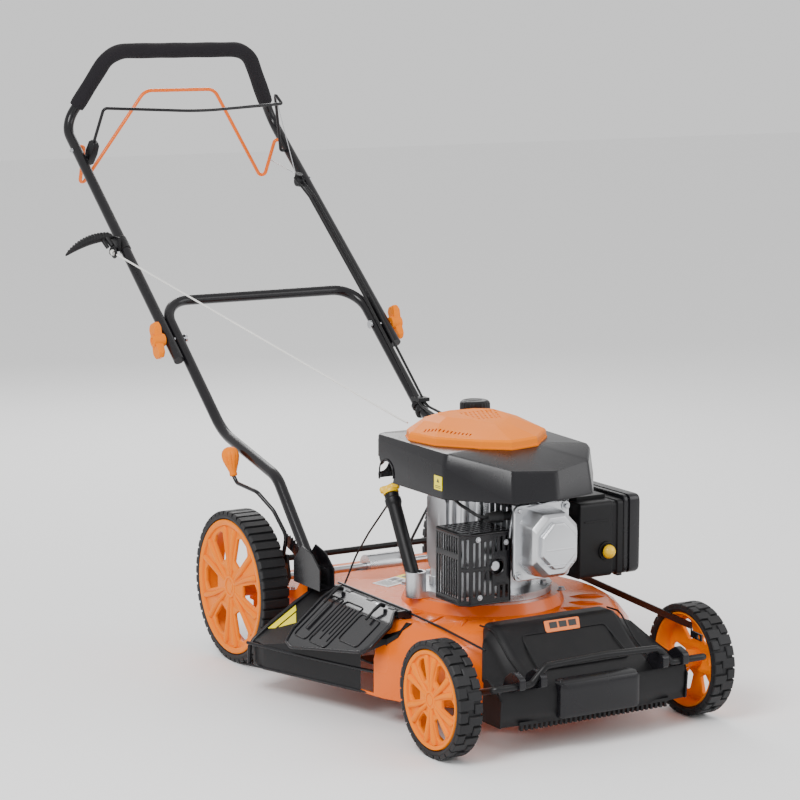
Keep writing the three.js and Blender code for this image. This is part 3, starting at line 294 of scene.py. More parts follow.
# %% The builder that each finish below uses
def finish(name, color, rough, metallic=0.0, grain=900.0, depth=0.05, spread=0.08, drift=0.06,
           wear=0.25, bare=(0.5, 0.5, 0.5), dust=0.1, coat=0.0, shine=0.5, effect_name="fine_grain"):
    """A Principled material in linear colour, with grain of 1/grain metres and the shared effects."""
    material = bpy.data.materials.new(name)
    material.use_nodes = True
    tree = material.node_tree
    shader = tree.nodes["Principled BSDF"]

    def placed(group, **values):
        node = tree.nodes.new("ShaderNodeGroup")
        node.node_tree = bpy.data.node_groups[group]
        for label, value in values.items():
            node.inputs[label].default_value = value
        return node

    tone = placed("tone_drift", Color=(*color, 1), Amount=drift)
    skin = placed("fine_grain", Scale=grain, Roughness=rough, Spread=spread)
    worn = placed("edge_wear", Amount=wear)
    dusty = placed("dust_film", Amount=dust)
    bared = mixed(tree, worn.outputs["Mask"], tone.outputs["Color"], bare)
    coated = mixed(tree, dusty.outputs["Mask"], bared, (0.30, 0.27, 0.23))
    tree.links.new(coated, shader.inputs["Base Color"])
    roughened = maths(tree, "MULTIPLY_ADD", dusty.outputs["Mask"], 0.35, skin.outputs["Roughness"],
                      clamp=True)
    tree.links.new(roughened, shader.inputs["Roughness"])
    bump = tree.nodes.new("ShaderNodeBump")
    bump.inputs["Strength"].default_value = depth
    bump.inputs["Distance"].default_value = 0.0006
    height = skin.outputs["Height"]
    if effect_name != "fine_grain":
        height = placed(effect_name, Scale=grain).outputs["Height"]
    tree.links.new(height, bump.inputs["Height"])
    tree.links.new(bump.outputs[0], shader.inputs["Normal"])
    shader.inputs["Metallic"].default_value = metallic
    shader.inputs["Specular IOR Level"].default_value = shine
    shader.inputs["Coat Weight"].default_value = coat
    shader.inputs["Coat Roughness"].default_value = 0.12
    return material


# %% Paint and bare metal
orange_steel = finish("orange_powder_coat", (0.80, 0.135, 0.0), 0.26, grain=420, depth=0.10, coat=0.15,
                      drift=0.05, bare=(0.35, 0.08, 0.02), dust=0.02, shine=0.3)
black_paint = finish("black_tube_paint", (0.0055, 0.005, 0.0065), 0.25, grain=600, depth=0.05, coat=0.12,
                     bare=(0.05, 0.05, 0.055), dust=0.02, shine=0.3)
steel = finish("zinc_plated_steel", (0.52, 0.53, 0.55), 0.33, metallic=1.0, grain=900, depth=0.08,
               bare=(0.75, 0.75, 0.77), effect_name="fine_lines", dust=0.08)
black_steel = finish("blackened_steel", (0.010, 0.010, 0.011), 0.34, metallic=0.4, grain=500, depth=0.14,
                     bare=(0.25, 0.25, 0.26), dust=0.05, shine=0.35)
cast_aluminium = finish("die_cast_aluminium", (0.60, 0.61, 0.63), 0.30, metallic=0.95, grain=1300,
                        depth=0.22, spread=0.14, drift=0.12, bare=(0.8, 0.8, 0.82), dust=0.1)

# %% Plastics
orange_plastic = finish("orange_plastic", (0.86, 0.205, 0.0), 0.40, grain=1500, depth=0.06,
                        bare=(0.90, 0.30, 0.02), wear=0.12, drift=0.03, dust=0.0, shine=0.12)
black_plastic = finish("black_grained_plastic", (0.0062, 0.006, 0.007), 0.42, grain=2100, depth=0.20,
                       bare=(0.03, 0.03, 0.033), dust=0.02, shine=0.25)
satin_plastic = finish("black_satin_plastic", (0.0075, 0.0072, 0.009), 0.27, grain=1500, depth=0.06,
                       bare=(0.04, 0.04, 0.043), dust=0.015, shine=0.34)
yellow_plastic = finish("yellow_plastic", (0.86, 0.52, 0.002), 0.32, grain=1500, depth=0.06, wear=0.1,
                        bare=(0.9, 0.7, 0.2), drift=0.03, dust=0.02)
smoky_plastic = finish("smoky_plastic", (0.008, 0.008, 0.010), 0.16, grain=700, depth=0.05, wear=0.1,
                       bare=(0.05, 0.05, 0.055), drift=0.1, dust=0.02, coat=0.15, shine=0.4)

# %% Rubber, foam and cord
tyre_rubber = finish("tyre_rubber", (0.0105, 0.0105, 0.012), 0.54, grain=1200, depth=0.20, spread=0.12,
                     drift=0.14, bare=(0.035, 0.034, 0.033), dust=0.05, shine=0.3)
rubber = finish("soft_rubber", (0.008, 0.008, 0.009), 0.48, grain=1500, depth=0.12, dust=0.04,
                bare=(0.03, 0.03, 0.03), shine=0.3)
foam = finish("grip_foam", (0.0095, 0.008, 0.0105), 0.86, grain=1900, depth=0.75, spread=0.05, wear=0.3,
              bare=(0.03, 0.028, 0.03), dust=0.04, shine=0.3)
cord_white = finish("braided_cord", (0.78, 0.77, 0.74), 0.75, grain=2600, depth=0.5, wear=0.0, dust=0.1,
                    drift=0.08, effect_name="fine_lines")

# %% Printed labels, in plain colours with no lettering
label_yellow = finish("yellow_label", (0.93, 0.78, 0.01), 0.35, grain=1500, depth=0.02, wear=0.0,
                      bare=(0.5, 0.5, 0.5), drift=0.02, dust=0.05)
label_white = finish("white_label", (0.75, 0.75, 0.74), 0.38, grain=1500, depth=0.02, wear=0.0, dust=0.05)
label_orange = finish("orange_label", (0.80, 0.20, 0.05), 0.35, grain=1500, depth=0.02, wear=0.0, dust=0.02)
label_black = finish("black_print", (0.03, 0.03, 0.03), 0.40, grain=1500, depth=0.02, wear=0.0, dust=0.02)
print(len(bpy.data.materials), "materials")

# %% [markdown]
# ## Making meshes
# Most mower parts are one of four kinds: a section carried along a bent line (tubes, rods, cables),
# a profile turned about an axis (hubs, caps, tyres), an outline given a thickness (plates, ribs), or
# a skin drawn through a stack of rings (covers). A small drawing class makes all four, and every
# piece gets rounded edges, because a perfectly sharp edge never catches the light.

# %% The drawing class
class Drawing:
    """Points and faces in millimetres from the datum."""

    def __init__(self):
        self.points = []
        self.faces = []

    def add(self, points, faces):
        start = len(self.points)
        self.points.extend(Vector(p) for p in points)
        self.faces.extend([start + i for i in face] for face in faces)
        return self

    def rings(self, rings, around=True, along=False, caps=True):
        """A skin through rings of the same number of points."""
        count, size = len(rings), len(rings[0])
        faces = []
        for i in range(count if along else count - 1):
            for k in range(size if around else size - 1):
                a, b = i * size, (i + 1) % count * size
                faces.append([a + k, a + (k + 1) % size, b + (k + 1) % size, b + k])
        if caps and not along and around:
            faces.append(list(range(size))[::-1])
            faces.append([(count - 1) * size + k for k in range(size)])
        return self.add([p for ring in rings for p in ring], faces)

    def box(self, x0, x1, y0, y1, z0, z1):
        return self.rings([[(x0, y0, z), (x1, y0, z), (x1, y1, z), (x0, y1, z)] for z in (z0, z1)])

    def sweep(self, line, radius, sides=14, caps=True):
        """A round bar along a line; radius is a number, or a function of the share of the way."""
        rings = []
        for i, (point, side, up) in enumerate(frames(line)):
            share = i / (len(line) - 1)
            r = radius(share) if callable(radius) else radius
            angles = [2 * math.pi * k / sides for k in range(sides)]
            rings.append([point + (side * math.cos(a) + up * math.sin(a)) * r for a in angles])
        return self.rings(rings, caps=caps)

    def turned(self, profile, place, axis="Z", sides=32, closed=False):
        """A profile of (radius, height) turned about an axis through a place."""
        rings = []
        for radius, height in profile:
            ring = []
            for k in range(sides):
                a = 2 * math.pi * k / sides
                local = Vector((radius * math.cos(a), radius * math.sin(a), height))
                ring.append(Vector(place) + turn_to(axis) @ local)
            rings.append(ring)
        return self.rings(rings, along=closed, caps=not closed)

    def plate(self, outline, axis, low, high):
        """An outline of pairs in the plane across an axis, given a thickness along it."""
        def lift(pair, t):
            a, b = pair
            return {"x": (t, a, b), "y": (a, t, b), "z": (a, b, t)}[axis]
        return self.rings([[lift(pair, t) for pair in outline] for t in (low, high)])

    def moved(self, matrix):
        self.points = [matrix @ p for p in self.points]
        return self


def turn_to(axis):
    """The rotation that carries +Z to an axis given as a letter, -letter or vector."""
    letters = {"X": (1, 0, 0), "Y": (0, 1, 0), "Z": (0, 0, 1), "-X": (-1, 0, 0), "-Y": (0, -1, 0),
               "-Z": (0, 0, -1)}
    target = Vector(letters[axis] if isinstance(axis, str) else axis).normalized()
    if target.z < -0.9999:
        return Matrix.Rotation(math.pi, 3, "X")
    return Vector((0, 0, 1)).rotation_difference(target).to_matrix()


def frames(line):
    """Each point of a line with two directions across it, carried along without twist."""
    points = [Vector(p) for p in line]
    ways = [(points[min(i + 1, len(points) - 1)] - points[max(i - 1, 0)]).normalized()
            for i in range(len(points))]
    side = ways[0].orthogonal().normalized()
    found = []
    for point, way in zip(points, ways):
        side = (side - way * side.dot(way)).normalized()
        found.append((point, side, way.cross(side)))
    return found


def bend(corners, steps=8, mirror=False):
    """A line through corners (x, y, z[, radius]) whose bends are arcs. mirror adds the other half."""
    if mirror:
        corners = list(corners) + [(-c[0], *c[1:]) for c in reversed(corners)]
    line = [Vector(corners[0][:3])]
    for before, corner, after in zip(corners, corners[1:], corners[2:]):
        here = Vector(corner[:3])
        into, out = (here - Vector(before[:3])).normalized(), (Vector(after[:3]) - here).normalized()
        angle = into.angle(out)
        radius = corner[3] if len(corner) > 3 else 0
        if not radius or angle < 0.01:
            line.append(here)
            continue
        back = radius * math.tan(angle / 2)
        centre = here - into * back + (out - into * into.dot(out)).normalized() * radius
        arm = here - into * back - centre
        turn = into.cross(out).normalized()
        line += [centre + Matrix.Rotation(angle * k / steps, 3, turn) @ arm for k in range(steps + 1)]
    return line + [Vector(corners[-1][:3])]


def even(line, step):
    """The same line with points about a step apart, for a surface that has to bend or be textured."""
    found = [line[0]]
    for a, b in zip(line, line[1:]):
        n = max(1, round((b - a).length / step))
        found += [a.lerp(b, k / n) for k in range(1, n + 1)]
    return found


def rounded(outline, radius, steps=4):
    """A flat outline of pairs with its corners rounded; a pair may carry its own radius third."""
    n, result = len(outline), []
    for i, pair in enumerate(outline):
        here = Vector(pair[:2])
        before, after = Vector(outline[i - 1][:2]), Vector(outline[(i + 1) % n][:2])
        r = pair[2] if len(pair) > 2 else radius
        into, out = (here - before).normalized(), (after - here).normalized()
        angle = into.angle(out)
        if r <= 0 or angle < 0.05:
            result.append(tuple(here))
            continue
        back = min(r * math.tan(angle / 2), 0.45 * (here - before).length, 0.45 * (after - here).length)
        a, b = here - into * back, here + out * back
        for k in range(steps + 1):
            t = k / steps
            result.append(tuple(a * (1 - t) ** 2 + here * 2 * t * (1 - t) + b * t * t))
    return result


# %% From a drawing to a piece
def make(name, drawing, body, paint, stands_for=(), bevel=0.0, smooth=38, subdivide=0, solidify=0.0):
    """A finished piece: its mesh, rounded edges, smooth shading, finish, body and what it stands for."""
    mesh = bpy.data.meshes.new(name)
    mesh.from_pydata([at(*p) for p in drawing.points], [], drawing.faces)
    mesh.validate()
    sketch = bmesh.new()
    sketch.from_mesh(mesh)
    bmesh.ops.remove_doubles(sketch, verts=sketch.verts, dist=1e-6)
    bmesh.ops.recalc_face_normals(sketch, faces=sketch.faces)
    sketch.to_mesh(mesh)
    sketch.free()
    piece = bpy.data.objects.new(name, mesh)
    bpy.context.scene.collection.objects.link(piece)
    mesh.materials.append(paint)
    mesh.shade_smooth()
    if solidify:
        wall = piece.modifiers.new("wall", "SOLIDIFY")
        wall.thickness, wall.offset = solidify / 1000, -1
    if subdivide:
        finer = piece.modifiers.new("finer", "SUBSURF")
        finer.levels = finer.render_levels = subdivide
    if bevel:
        edge = piece.modifiers.new("rounded", "BEVEL")
        edge.width, edge.segments, edge.limit_method = bevel / 1000, 2, "ANGLE"
        edge.angle_limit, edge.harden_normals = math.radians(smooth), True
    else:
        mesh.set_sharp_from_angle(angle=math.radians(smooth))
    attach(piece, body)
    if stands_for:
        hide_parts(*stands_for)
    return piece

# %% [markdown]
# ## Wheels
# The tyre is a hard ring with tread blocks moulded on. One block repeated round the ring is how the
# mould is cut, so a loop makes them. The rear tyres have straight bars; the front ones have short
# blocks in two staggered rows. Each rim is a dished plate with six windows, whose spokes carry two
# ribs each; a flat curve with holes in it gives the plate, because its edges come out rounded.

# %% Sizes of the two kinds of wheel
FRONT = {"radius": 101.5, "width": 47.0, "rim": 86.0, "outer": 287.0, "y": -WHEELBASE / 2, "blocks": 30}
REAR = {"radius": 147.5, "width": 58.0, "rim": 131.0, "outer": 290.0, "y": WHEELBASE / 2, "blocks": 48}
SPOKES = 6


def wheel_point(wheel, side, radius, angle, out):
    """A place on a wheel: out is measured inwards from its outer face."""
    x = side * (wheel["outer"] - out)
    return (x, wheel["y"] + radius * math.cos(angle), wheel["radius"] + radius * math.sin(angle))


# %% Tyres
def tread_block(drawing, wheel, side, start, end, out0, out1, top, foot):
    """A block between two angles and two depths, with sloping flanks."""
    slope, lean = 0.8 / wheel["radius"], 1.2
    rings = []
    for radius, grow in ((foot, 1.0), (top - 1.2, 0.35), (top, -0.4)):
        a0, a1 = start - slope * grow, end + slope * grow
        o0, o1 = out0 - lean * max(grow, 0), out1 + lean * max(grow, 0)
        if radius == top:
            o0, o1 = o0 + 1.6, o1 - 1.6
        steps = [a0 + (a1 - a0) * k / 3 for k in range(4)]
        ring = [wheel_point(wheel, side, radius, a, o0) for a in steps]
        ring += [wheel_point(wheel, side, radius, a, o1) for a in reversed(steps)]
        rings.append(ring)
    drawing.rings(rings)


def tyre(name, wheel, side):
    drawing = Drawing()
    radius, width, rim = wheel["radius"] - FACET, wheel["width"], wheel["rim"]
    carcass = radius - 4.2
    profile = [(rim, 5), (rim + 2, 1.5), (rim + 6, 0.6), (carcass - 4, 1.2), (carcass - 0.8, 3.2),
               (carcass, 6)]
    profile += [(r, width - out) for r, out in reversed(profile)]
    rings = []
    for k in range(96):
        rings.append([wheel_point(wheel, side, r, 2 * math.pi * k / 96, out) for r, out in profile])
    drawing.rings(rings, along=True)
    pitch = 2 * math.pi / wheel["blocks"]
    for k in range(wheel["blocks"]):
        start = k * pitch
        if wheel is REAR:
            tread_block(drawing, wheel, side, start, start + 0.70 * pitch, 2.4, width - 2.4, radius,
                        carcass - 3)
            continue
        long_row = k % 2 == 0
        middle = width * (0.62 if long_row else 0.38)
        tread_block(drawing, wheel, side, start, start + 0.80 * pitch, 2.4, middle - 1.0, radius,
                    carcass - 3)
        tread_block(drawing, wheel, side, start + 0.42 * pitch, start + 1.16 * pitch, middle + 1.4,
                    width - 2.4,
                    radius, carcass - 3)
    return make(name, drawing, wheel_body(name), tyre_rubber, (name,), smooth=30)


def wheel_body(name):
    return name.rsplit("_", 1)[0] + "_wheel"


# %% Rims
def curve_plate(name, outlines, thickness, edge):
    """A flat plate of (u, v) outlines, the later ones holes, with rounded edges, as a mesh in millimetres."""
    data = bpy.data.curves.new(name, "CURVE")
    data.dimensions, data.fill_mode = "2D", "BOTH"
    data.extrude, data.bevel_depth, data.bevel_resolution = thickness / 2 - edge, edge, 2
    data.offset = -edge
    for outline in outlines:
        spline = data.splines.new("POLY")
        spline.points.add(len(outline) - 1)
        for point, (u, v) in zip(spline.points, outline):
            point.co = (u, v, 0, 1)
        spline.use_cyclic_u = True
    holder = bpy.data.objects.new(name, data)
    bpy.context.scene.collection.objects.link(holder)
    evaluated = holder.evaluated_get(bpy.context.evaluated_depsgraph_get())
    mesh = evaluated.to_mesh()
    drawing = Drawing().add([v.co.copy() for v in mesh.vertices], [list(p.vertices) for p in mesh.polygons])
    evaluated.to_mesh_clear()
    bpy.data.objects.remove(holder)
    bpy.data.curves.remove(data)
    return drawing


def polar(radius, angle):
    return (radius * math.cos(angle), radius * math.sin(angle))


def window(middle, inner, outer, half_in, half_out):
    """A window's outline: narrow near the hub, wide and curved at the rim."""
    outline = [(*polar(inner, middle - half_in), 3.0), (*polar(inner, middle + half_in), 3.0)]
    outline.append((*polar(outer - 8, middle + half_out), 6.0))
    outline.append((*polar(outer, middle + half_out * 0.45), 8.0))
    outline.append((*polar(outer, middle - half_out * 0.45), 8.0))
    outline.append((*polar(outer - 8, middle - half_out), 6.0))
    return rounded(outline, 4.0, 5)


def rim(name, wheel, side):
    """Rim band, spoked plate, paired ribs, hub and cap."""
    size = wheel["rim"] - 0.5
    hub = 22.0 if wheel is REAR else 16.0
    windows = [
        window(2 * math.pi * (k + 0.5) / SPOKES + math.pi / 2, 0.42 * size, 0.845 * size, 0.20, 0.24)
        for k in range(SPOKES)
    ]
    circle = [polar(0.93 * size, 2 * math.pi * k / 72) for k in range(72)]
    plate = curve_plate(name, [circle, *windows], 7.0, 2.0)
    bore = 12.0
    band = [(0.90 * size, 6.5), (0.915 * size, 2.2), (0.95 * size, 0.4), (0.985 * size, 0.3), (size, 2.0),
            (size, wheel["width"] - 6), (0.97 * size, wheel["width"] - 4),
            (0.93 * size, wheel["width"] - 8),
            (0.915 * size, 14)]
    rings = [[(*polar(r, 2 * math.pi * k / 72), -out) for r, out in band] for k in range(72)]
    plate.points = [Vector((p.x, p.y, p.z - 9.5 + 3.5 * (1 - min(1, p.to_2d().length / (0.9 * size)) ** 2)))
                    for p in plate.points]
    plate.rings(rings, along=True)
    for k in range(SPOKES):
        along = 2 * math.pi * k / SPOKES + math.pi / 2
        for lean in (-1, 1):
            start = Vector((*polar(hub - 3, along + lean * 0.17), -5.0))
            middle = Vector((*polar(0.55 * size, along + lean * 0.145), -4.0))
            end = Vector((*polar(0.90 * size, along + lean * 0.185), -5.5))
            line = [start.lerp(middle, t / 6) for t in range(6)] + [middle.lerp(end, t / 6)
                    for t in range(7)]
            plate.sweep(line, lambda t: (3.6 + 3.2 * t) * (0.6 if t in (0, 1) else 1), 10)
    plate.turned([(0, -2.2), (hub * 0.52, -2.2), (hub * 0.55, -3.6), (hub * 0.72, -3.6), (hub * 0.76, -1.6),
                  (hub * 0.95, -1.9), (hub, -3.4), (hub, -wheel["width"] + 6), (bore, -wheel["width"] + 5),
                  (bore, -12), (0, -12)], (0, 0, 0), sides=36)
    turned_in = Drawing()
    for p in plate.points:
        turned_in.points.append(Vector(wheel_point(wheel, side, p.to_2d().length, math.atan2(p.y, p.x),
                                                   -p.z)))
    turned_in.faces = plate.faces
    return make(name, turned_in, wheel_body(name), orange_plastic, (name,), smooth=42)


for label, wheel in (("front", FRONT), ("rear", REAR)):
    for hand, side in (("right", -1), ("left", 1)):
        tyre(f"{label}_{hand}_tyre", wheel, side).name = f"{label}_{hand}_tyre_tread"
        rim(f"{label}_{hand}_rim", wheel, side).name = f"{label}_{hand}_rim_spoked"
print("wheels: tyres", REAR["radius"] * 2, "and", FRONT["radius"] * 2, "mm across")

# %% [markdown]
# ## Handle
# The handle is two bent tubes: a lower U that stands in brackets on the deck, and an upper loop bolted
# outside it, which folds forward. A tube is one round section carried along a line whose corners are
# arcs. That is quicker and rounder than joining cylinders, and the bends keep their full section.

# %% Tubes and foam grip
BACKREST = [(281, 373, 70), (509, handle_z(509) - 8, 160)]
lower_line = bend(
    [(-LOWER_X, 150, 232)] + [(-LOWER_X, *corner)
                              for corner in BACKREST] + [(-LOWER_X, 787, handle_z(787), 60)],
    12, mirror=True,
)
make("lower_handle_tube", Drawing().sweep(lower_line, TUBE - 0.1, 24), "chassis", black_paint,
     ("lower_handle",))
LOOP = (165, 1161, 1156)
upper_corners = [(-UPPER_X, 657, handle_z(657)), (-UPPER_X, 1214, handle_z(1214), 50),
                 (-LOOP[0], *LOOP[1:], 62)]
upper_line = bend(upper_corners, 12, mirror=True)
make("upper_handle_tube", Drawing().sweep(upper_line, TUBE - 0.1, 24), "handle", black_paint,
     ("upper_handle",))

knee, corner = Vector(upper_corners[1][:3]), Vector(upper_corners[2][:3])
foam_start = knee.lerp(corner, 0.25)
foam_line = even(bend([tuple(foam_start), upper_corners[2]], 12, mirror=True), 9)
FOAM = 17.0


def foam_radius(share):
    """Foam swells a little along its length and rolls in at both cut ends."""
    end = min(share, 1 - share)
    return FOAM - 0.35 + 0.3 * math.sin(share * 55) if end > 0.006 else FOAM - 1.4


make("foam_grip_sleeve", Drawing().sweep(foam_line, foam_radius, 28), "handle", foam,
     ("foam_grip",),
     bevel=0.8, smooth=50)
print("upper loop top, mm above ground:", round(LOOP[2] + FOAM))

# %% [markdown]
# ## Control bails
# Both bails are bent wire that springs into holes in the tubes. The orange one engages the drive
# and the black one holds the engine brake off. A short plastic cover hides each pivot, and the
# brake bail's far end is turned into a hook for its cable.

# %% Bails
DRIVE_PIVOT, BRAKE_PIVOT = (1160.0, handle_z(1160)), (1132.0, handle_z(1132))
INNER_FACE = UPPER_X - TUBE - 0.4


def pivot_corners(side, pivot, radius):
    return [(side * (UPPER_X - 2), *pivot), (side * (INNER_FACE - 9), *pivot, radius)]


drive_line = bend(
    pivot_corners(-1, DRIVE_PIVOT, 7)
    + [(-(INNER_FACE - 16), DRIVE_PIVOT[0] + 46, DRIVE_PIVOT[1] - 96, 9),
       (-84, DRIVE_PIVOT[0] + 5, DRIVE_PIVOT[1] + 116, 30)],
    8, mirror=True,
)
make("drive_bail_wire", Drawing().sweep(drive_line, 3.9, 14), "drive_bail", orange_steel,
     ("drive_bail",))
brake_y, brake_z = BRAKE_PIVOT
brake_line = bend(
    pivot_corners(-1, BRAKE_PIVOT, 6)
    + [(-222, brake_y - 58, brake_z + 107, 9), (0, brake_y - 67, brake_z + 96, 700),
       (206, brake_y - 57, brake_z + 107, 5), (204, brake_y - 28, brake_z + 128, 5)]
    + pivot_corners(1, BRAKE_PIVOT, 6)[::-1], 8,
)
make("brake_bail_wire", Drawing().sweep(brake_line, 3.4, 14), "brake_bail", black_paint,
     ("brake_bail",))

# %% Pivot cover on the brake bail's near leg
cover = Drawing()
leg = (Vector((-222, brake_y - 58, brake_z + 107)) - Vector((-(INNER_FACE - 9), *BRAKE_PIVOT))).normalized()
foot = Vector((-(INNER_FACE - 9), *BRAKE_PIVOT))
across = Vector((1, 0, 0))
deep = leg.cross(across).normalized()
for_rings = []
for along, half_x, half_d in ((-16, 5, 7), (-10, 8, 11), (14, 9.5, 13), (34, 8.5, 12), (40, 6, 8)):
    centre = foot + leg * along + across * 1.5
    square = rounded([(-half_x, -half_d), (half_x, -half_d), (half_x, half_d), (-half_x, half_d)], 3.5, 3)
    for_rings.append([centre + across * a + deep * d for a, d in square])
cover.rings(for_rings)
make("brake_pivot_cover", cover, "brake_bail", black_plastic, bevel=0.8)

# %% [markdown]
# ## Fasteners
# Small bolts are what makes a machine look bolted together. A hexagonal head with a chamfered top and
# a washer takes one short function, used wherever a part is held.


# %% Bolts
def bolt_head(drawing, place, axis, across_flats=10.0, height=5.0, washer=1.25, sides=6):
    """A washer and a head that stand on a surface."""
    radius = across_flats / 2 / math.cos(math.pi / 6)
    profile = [(0, 0.0), (radius * washer, 0.0), (radius * washer, 1.2)]
    drawing.turned(profile + [(0, 1.2)], place, axis, 20)
    drawing.turned([(0, 1.0), (radius, 1.0), (radius, height - 1), (radius * 0.85, height), (0, height)],
                   place, axis, sides)
    return drawing


tube_bolts = Drawing()
for x, y in ((-UPPER_X - TUBE, 1150), (UPPER_X + TUBE, 1058)):
    bolt_head(tube_bolts, (x, y, handle_z(y)), (math.copysign(1, x), 0, 0), 8, 5)
bolt_head(tube_bolts, (-UPPER_X + TUBE, 925, handle_z(925)), (1, 0, 0), 8, 5)
make("handle_tube_bolts", tube_bolts, "handle", steel, bevel=0.3)

# %% [markdown]
# ## Fold knobs
# Each fold bolt is drawn tight by an orange knob with two bow-shaped wings, easy to turn with a
# gloved hand. The wings are an outline with rounded corners, thinner at the tips than at the hub.


# %% Wing knobs
def wing_knob(side):
    """A bow of two wings on a hub, turned a little from upright."""
    lean, face = -0.35, UPPER_X + TUBE + 0.6
    bow = [(-9, 0, 5), (-15, -28, 6), (-10.5, -36.5, 3), (10.5, -36.5, 3), (15, -28, 6), (9, 0, 5),
           (15, 28, 6), (10.5, 36.5, 3), (-10.5, 36.5, 3), (-15, 28, 6)]
    outline = rounded(bow, 4, 5)
    drawing = Drawing()

    def placed(out, scale):
        ring = []
        for y, z in outline:
            y, z = y * scale, z * scale
            thin = out if abs(z) < 12 else out - (abs(z) - 12) * 0.10 * (1 if out > 14 else -1)
            ring.append((side * (face + thin), FOLD[0] + y * math.cos(lean) - z * math.sin(lean),
                         FOLD[1] + y * math.sin(lean) + z * math.cos(lean)))
        return ring

    drawing.rings([placed(6.4, 0.93), placed(8.2, 1.0), placed(21, 1.0), placed(23.5, 0.92)])
    drawing.turned([(0, 0.4), (13, 0.4), (14.6, 6), (12.5, 25), (9.5, 26.4), (6, 26.4), (5.5, 24.8),
                    (0, 24.8)],
                   (side * face, *FOLD), "X" if side > 0 else "-X", 32)
    return drawing


for word, side in (("right", -1), ("left", 1)):
    make(f"wing_knob_{word}_bow", wing_knob(side), f"knob_{word}", orange_plastic,
         (f"wing_knob_{word}",), bevel=0.9, smooth=40)

# %% [markdown]
# ## Starter grip, rope and guide
# The starter rope runs from the engine's cover up to a small black guide on the right tube, where the
# grip parks. The grip is a crescent with cooling-fin ribs on its upper side, and the rope is a braid
# that must follow the handle when it folds; here it is one mesh that belongs to neither body.

# %% Guide: a clamp on the tube and a curled hook that the rope lies in
GUIDE_Y = 920.0
GUIDE_X = -(UPPER_X + TUBE + 0.4)
guide_z = handle_z(GUIDE_Y)
guide = Drawing()
strap = rounded([(-16, -12), (20, -12), (20, 18), (-16, 18)], 5, 4)
guide.plate([(GUIDE_Y + a, guide_z + b) for a, b in strap], "x", GUIDE_X - 6, GUIDE_X - 0.3)
curl = []
for k in range(29):
    turn = -0.6 + 2 * math.pi * 1.2 * k / 28
    curl.append(Vector((GUIDE_X - 13 + 6 * (k / 28 - 0.5), GUIDE_Y - 7 + 10.5 * math.cos(turn),
                        guide_z - 13 + 10.5 * math.sin(turn))))
guide.sweep([Vector((GUIDE_X - 4, GUIDE_Y + 8, guide_z - 4)), *curl], 3.2, 12)
guide.sweep(bend([(GUIDE_X - 3, GUIDE_Y + 14, guide_z + 14), (GUIDE_X - 19, GUIDE_Y + 22, guide_z + 22, 8),
                  (GUIDE_X - 30, GUIDE_Y + 8, guide_z + 10, 6), (GUIDE_X - 24, GUIDE_Y - 2, guide_z - 4)]),
            4.2, 12)
make("rope_guide_hook", guide, "handle", black_plastic, ("rope_guide",), bevel=0.5)
band = Drawing().sweep([Vector((-UPPER_X, GUIDE_Y - 13, handle_z(GUIDE_Y - 13))),
                        Vector((-UPPER_X, GUIDE_Y + 13, handle_z(GUIDE_Y + 13)))], TUBE + 1.4, 24)
make("rope_guide_band", band, "handle", black_plastic, bevel=0.6)

# %% Grip: a crescent body with ribs
GRIP = Vector((GUIDE_X - 20, GUIDE_Y + 14, guide_z + 14))
GRIP_RIBS = 15


def grip_centre(share):
    return GRIP + Vector((12 - 104 * share, 8 * math.sin(math.pi * share), 4 - 34 * share * share))


def grip_half(share):
    """Half thickness of the crescent, full in the middle and drawn in at both ends."""
    return 10.6 * (1 - 0.42 * abs(2 * share - 0.75) ** 2.4)


grip = Drawing()
sections = []
for k in range(41):
    share = k / 40
    half = grip_half(share) * (0.72 if k in (0, 40) else 1)
    centre = grip_centre(share)
    ring = []
    for m in range(20):
        a = 2 * math.pi * m / 20
        ring.append(centre + Vector((0, 0.86 * half * math.cos(a),
                                     half * math.sin(a) * (0.80 if math.sin(a) > 0 else 1))))
    sections.append(ring)
grip.rings(sections)
for k in range(GRIP_RIBS):
    share = 0.08 + 0.84 * k / (GRIP_RIBS - 1)
    centre, half = grip_centre(share), grip_half(share)
    ring = [centre + Vector((d, 0.90 * half * math.cos(a), 1.0 * half * math.sin(a)))
            for d in (-1.5, 1.5) for a in [math.pi * m / 12 for m in range(13)]]
    grip.rings([ring[:13], ring[13:]])
neck_top, neck_end = GRIP + Vector((0, 0, 2)), GRIP + Vector((6, -17, -15))
grip.sweep([neck_top.lerp(neck_end, k / 6) for k in range(7)], lambda t: 6.2 - 1.4 * t, 16)
make("starter_grip_ribbed", grip, "starter_grip", rubber, ("starter_grip",), bevel=0.4, smooth=45)

# %% Rope: one cord with a knot of turns in the guide
ROPE_FOOT = [(-100, 14, 505), (-104, 40, 510)]
rope_end = Vector((GUIDE_X - 14, GUIDE_Y - 7, guide_z - 14))
rope_line = even([Vector(p) for p in ROPE_FOOT] + [rope_end], 14)
rope = Drawing().sweep(rope_line, 1.9, 10)
rope_piece = make("starter_rope_braid", rope, "chassis", cord_white, ("starter_rope",))
knot = Drawing()
knot_line = []
for k in range(37):
    turn = 2 * math.pi * 2.5 * k / 36
    knot_line.append(rope_end + Vector((4.6 * math.cos(turn), 3.4 * (k / 36 - 0.5) * 2.4,
                                        4.6 * math.sin(turn))))
knot.sweep(knot_line, 1.9, 10)
make("starter_rope_turns", knot, "handle", cord_white)

# %% [markdown]
# ## Control cables
# Two black cables leave a stop on the left tube, run down over the left tubes through plastic clips
# and reach the engine brake and the gearbox. Their bright inner wires run on from the stop to the
# bails. They cross the fold, so each is one tube with many steps that belongs to neither body.

# %% Cables
HOLD = TUBE + 6.0
LIFT = Vector((-SLOPE, 1)).normalized() * HOLD


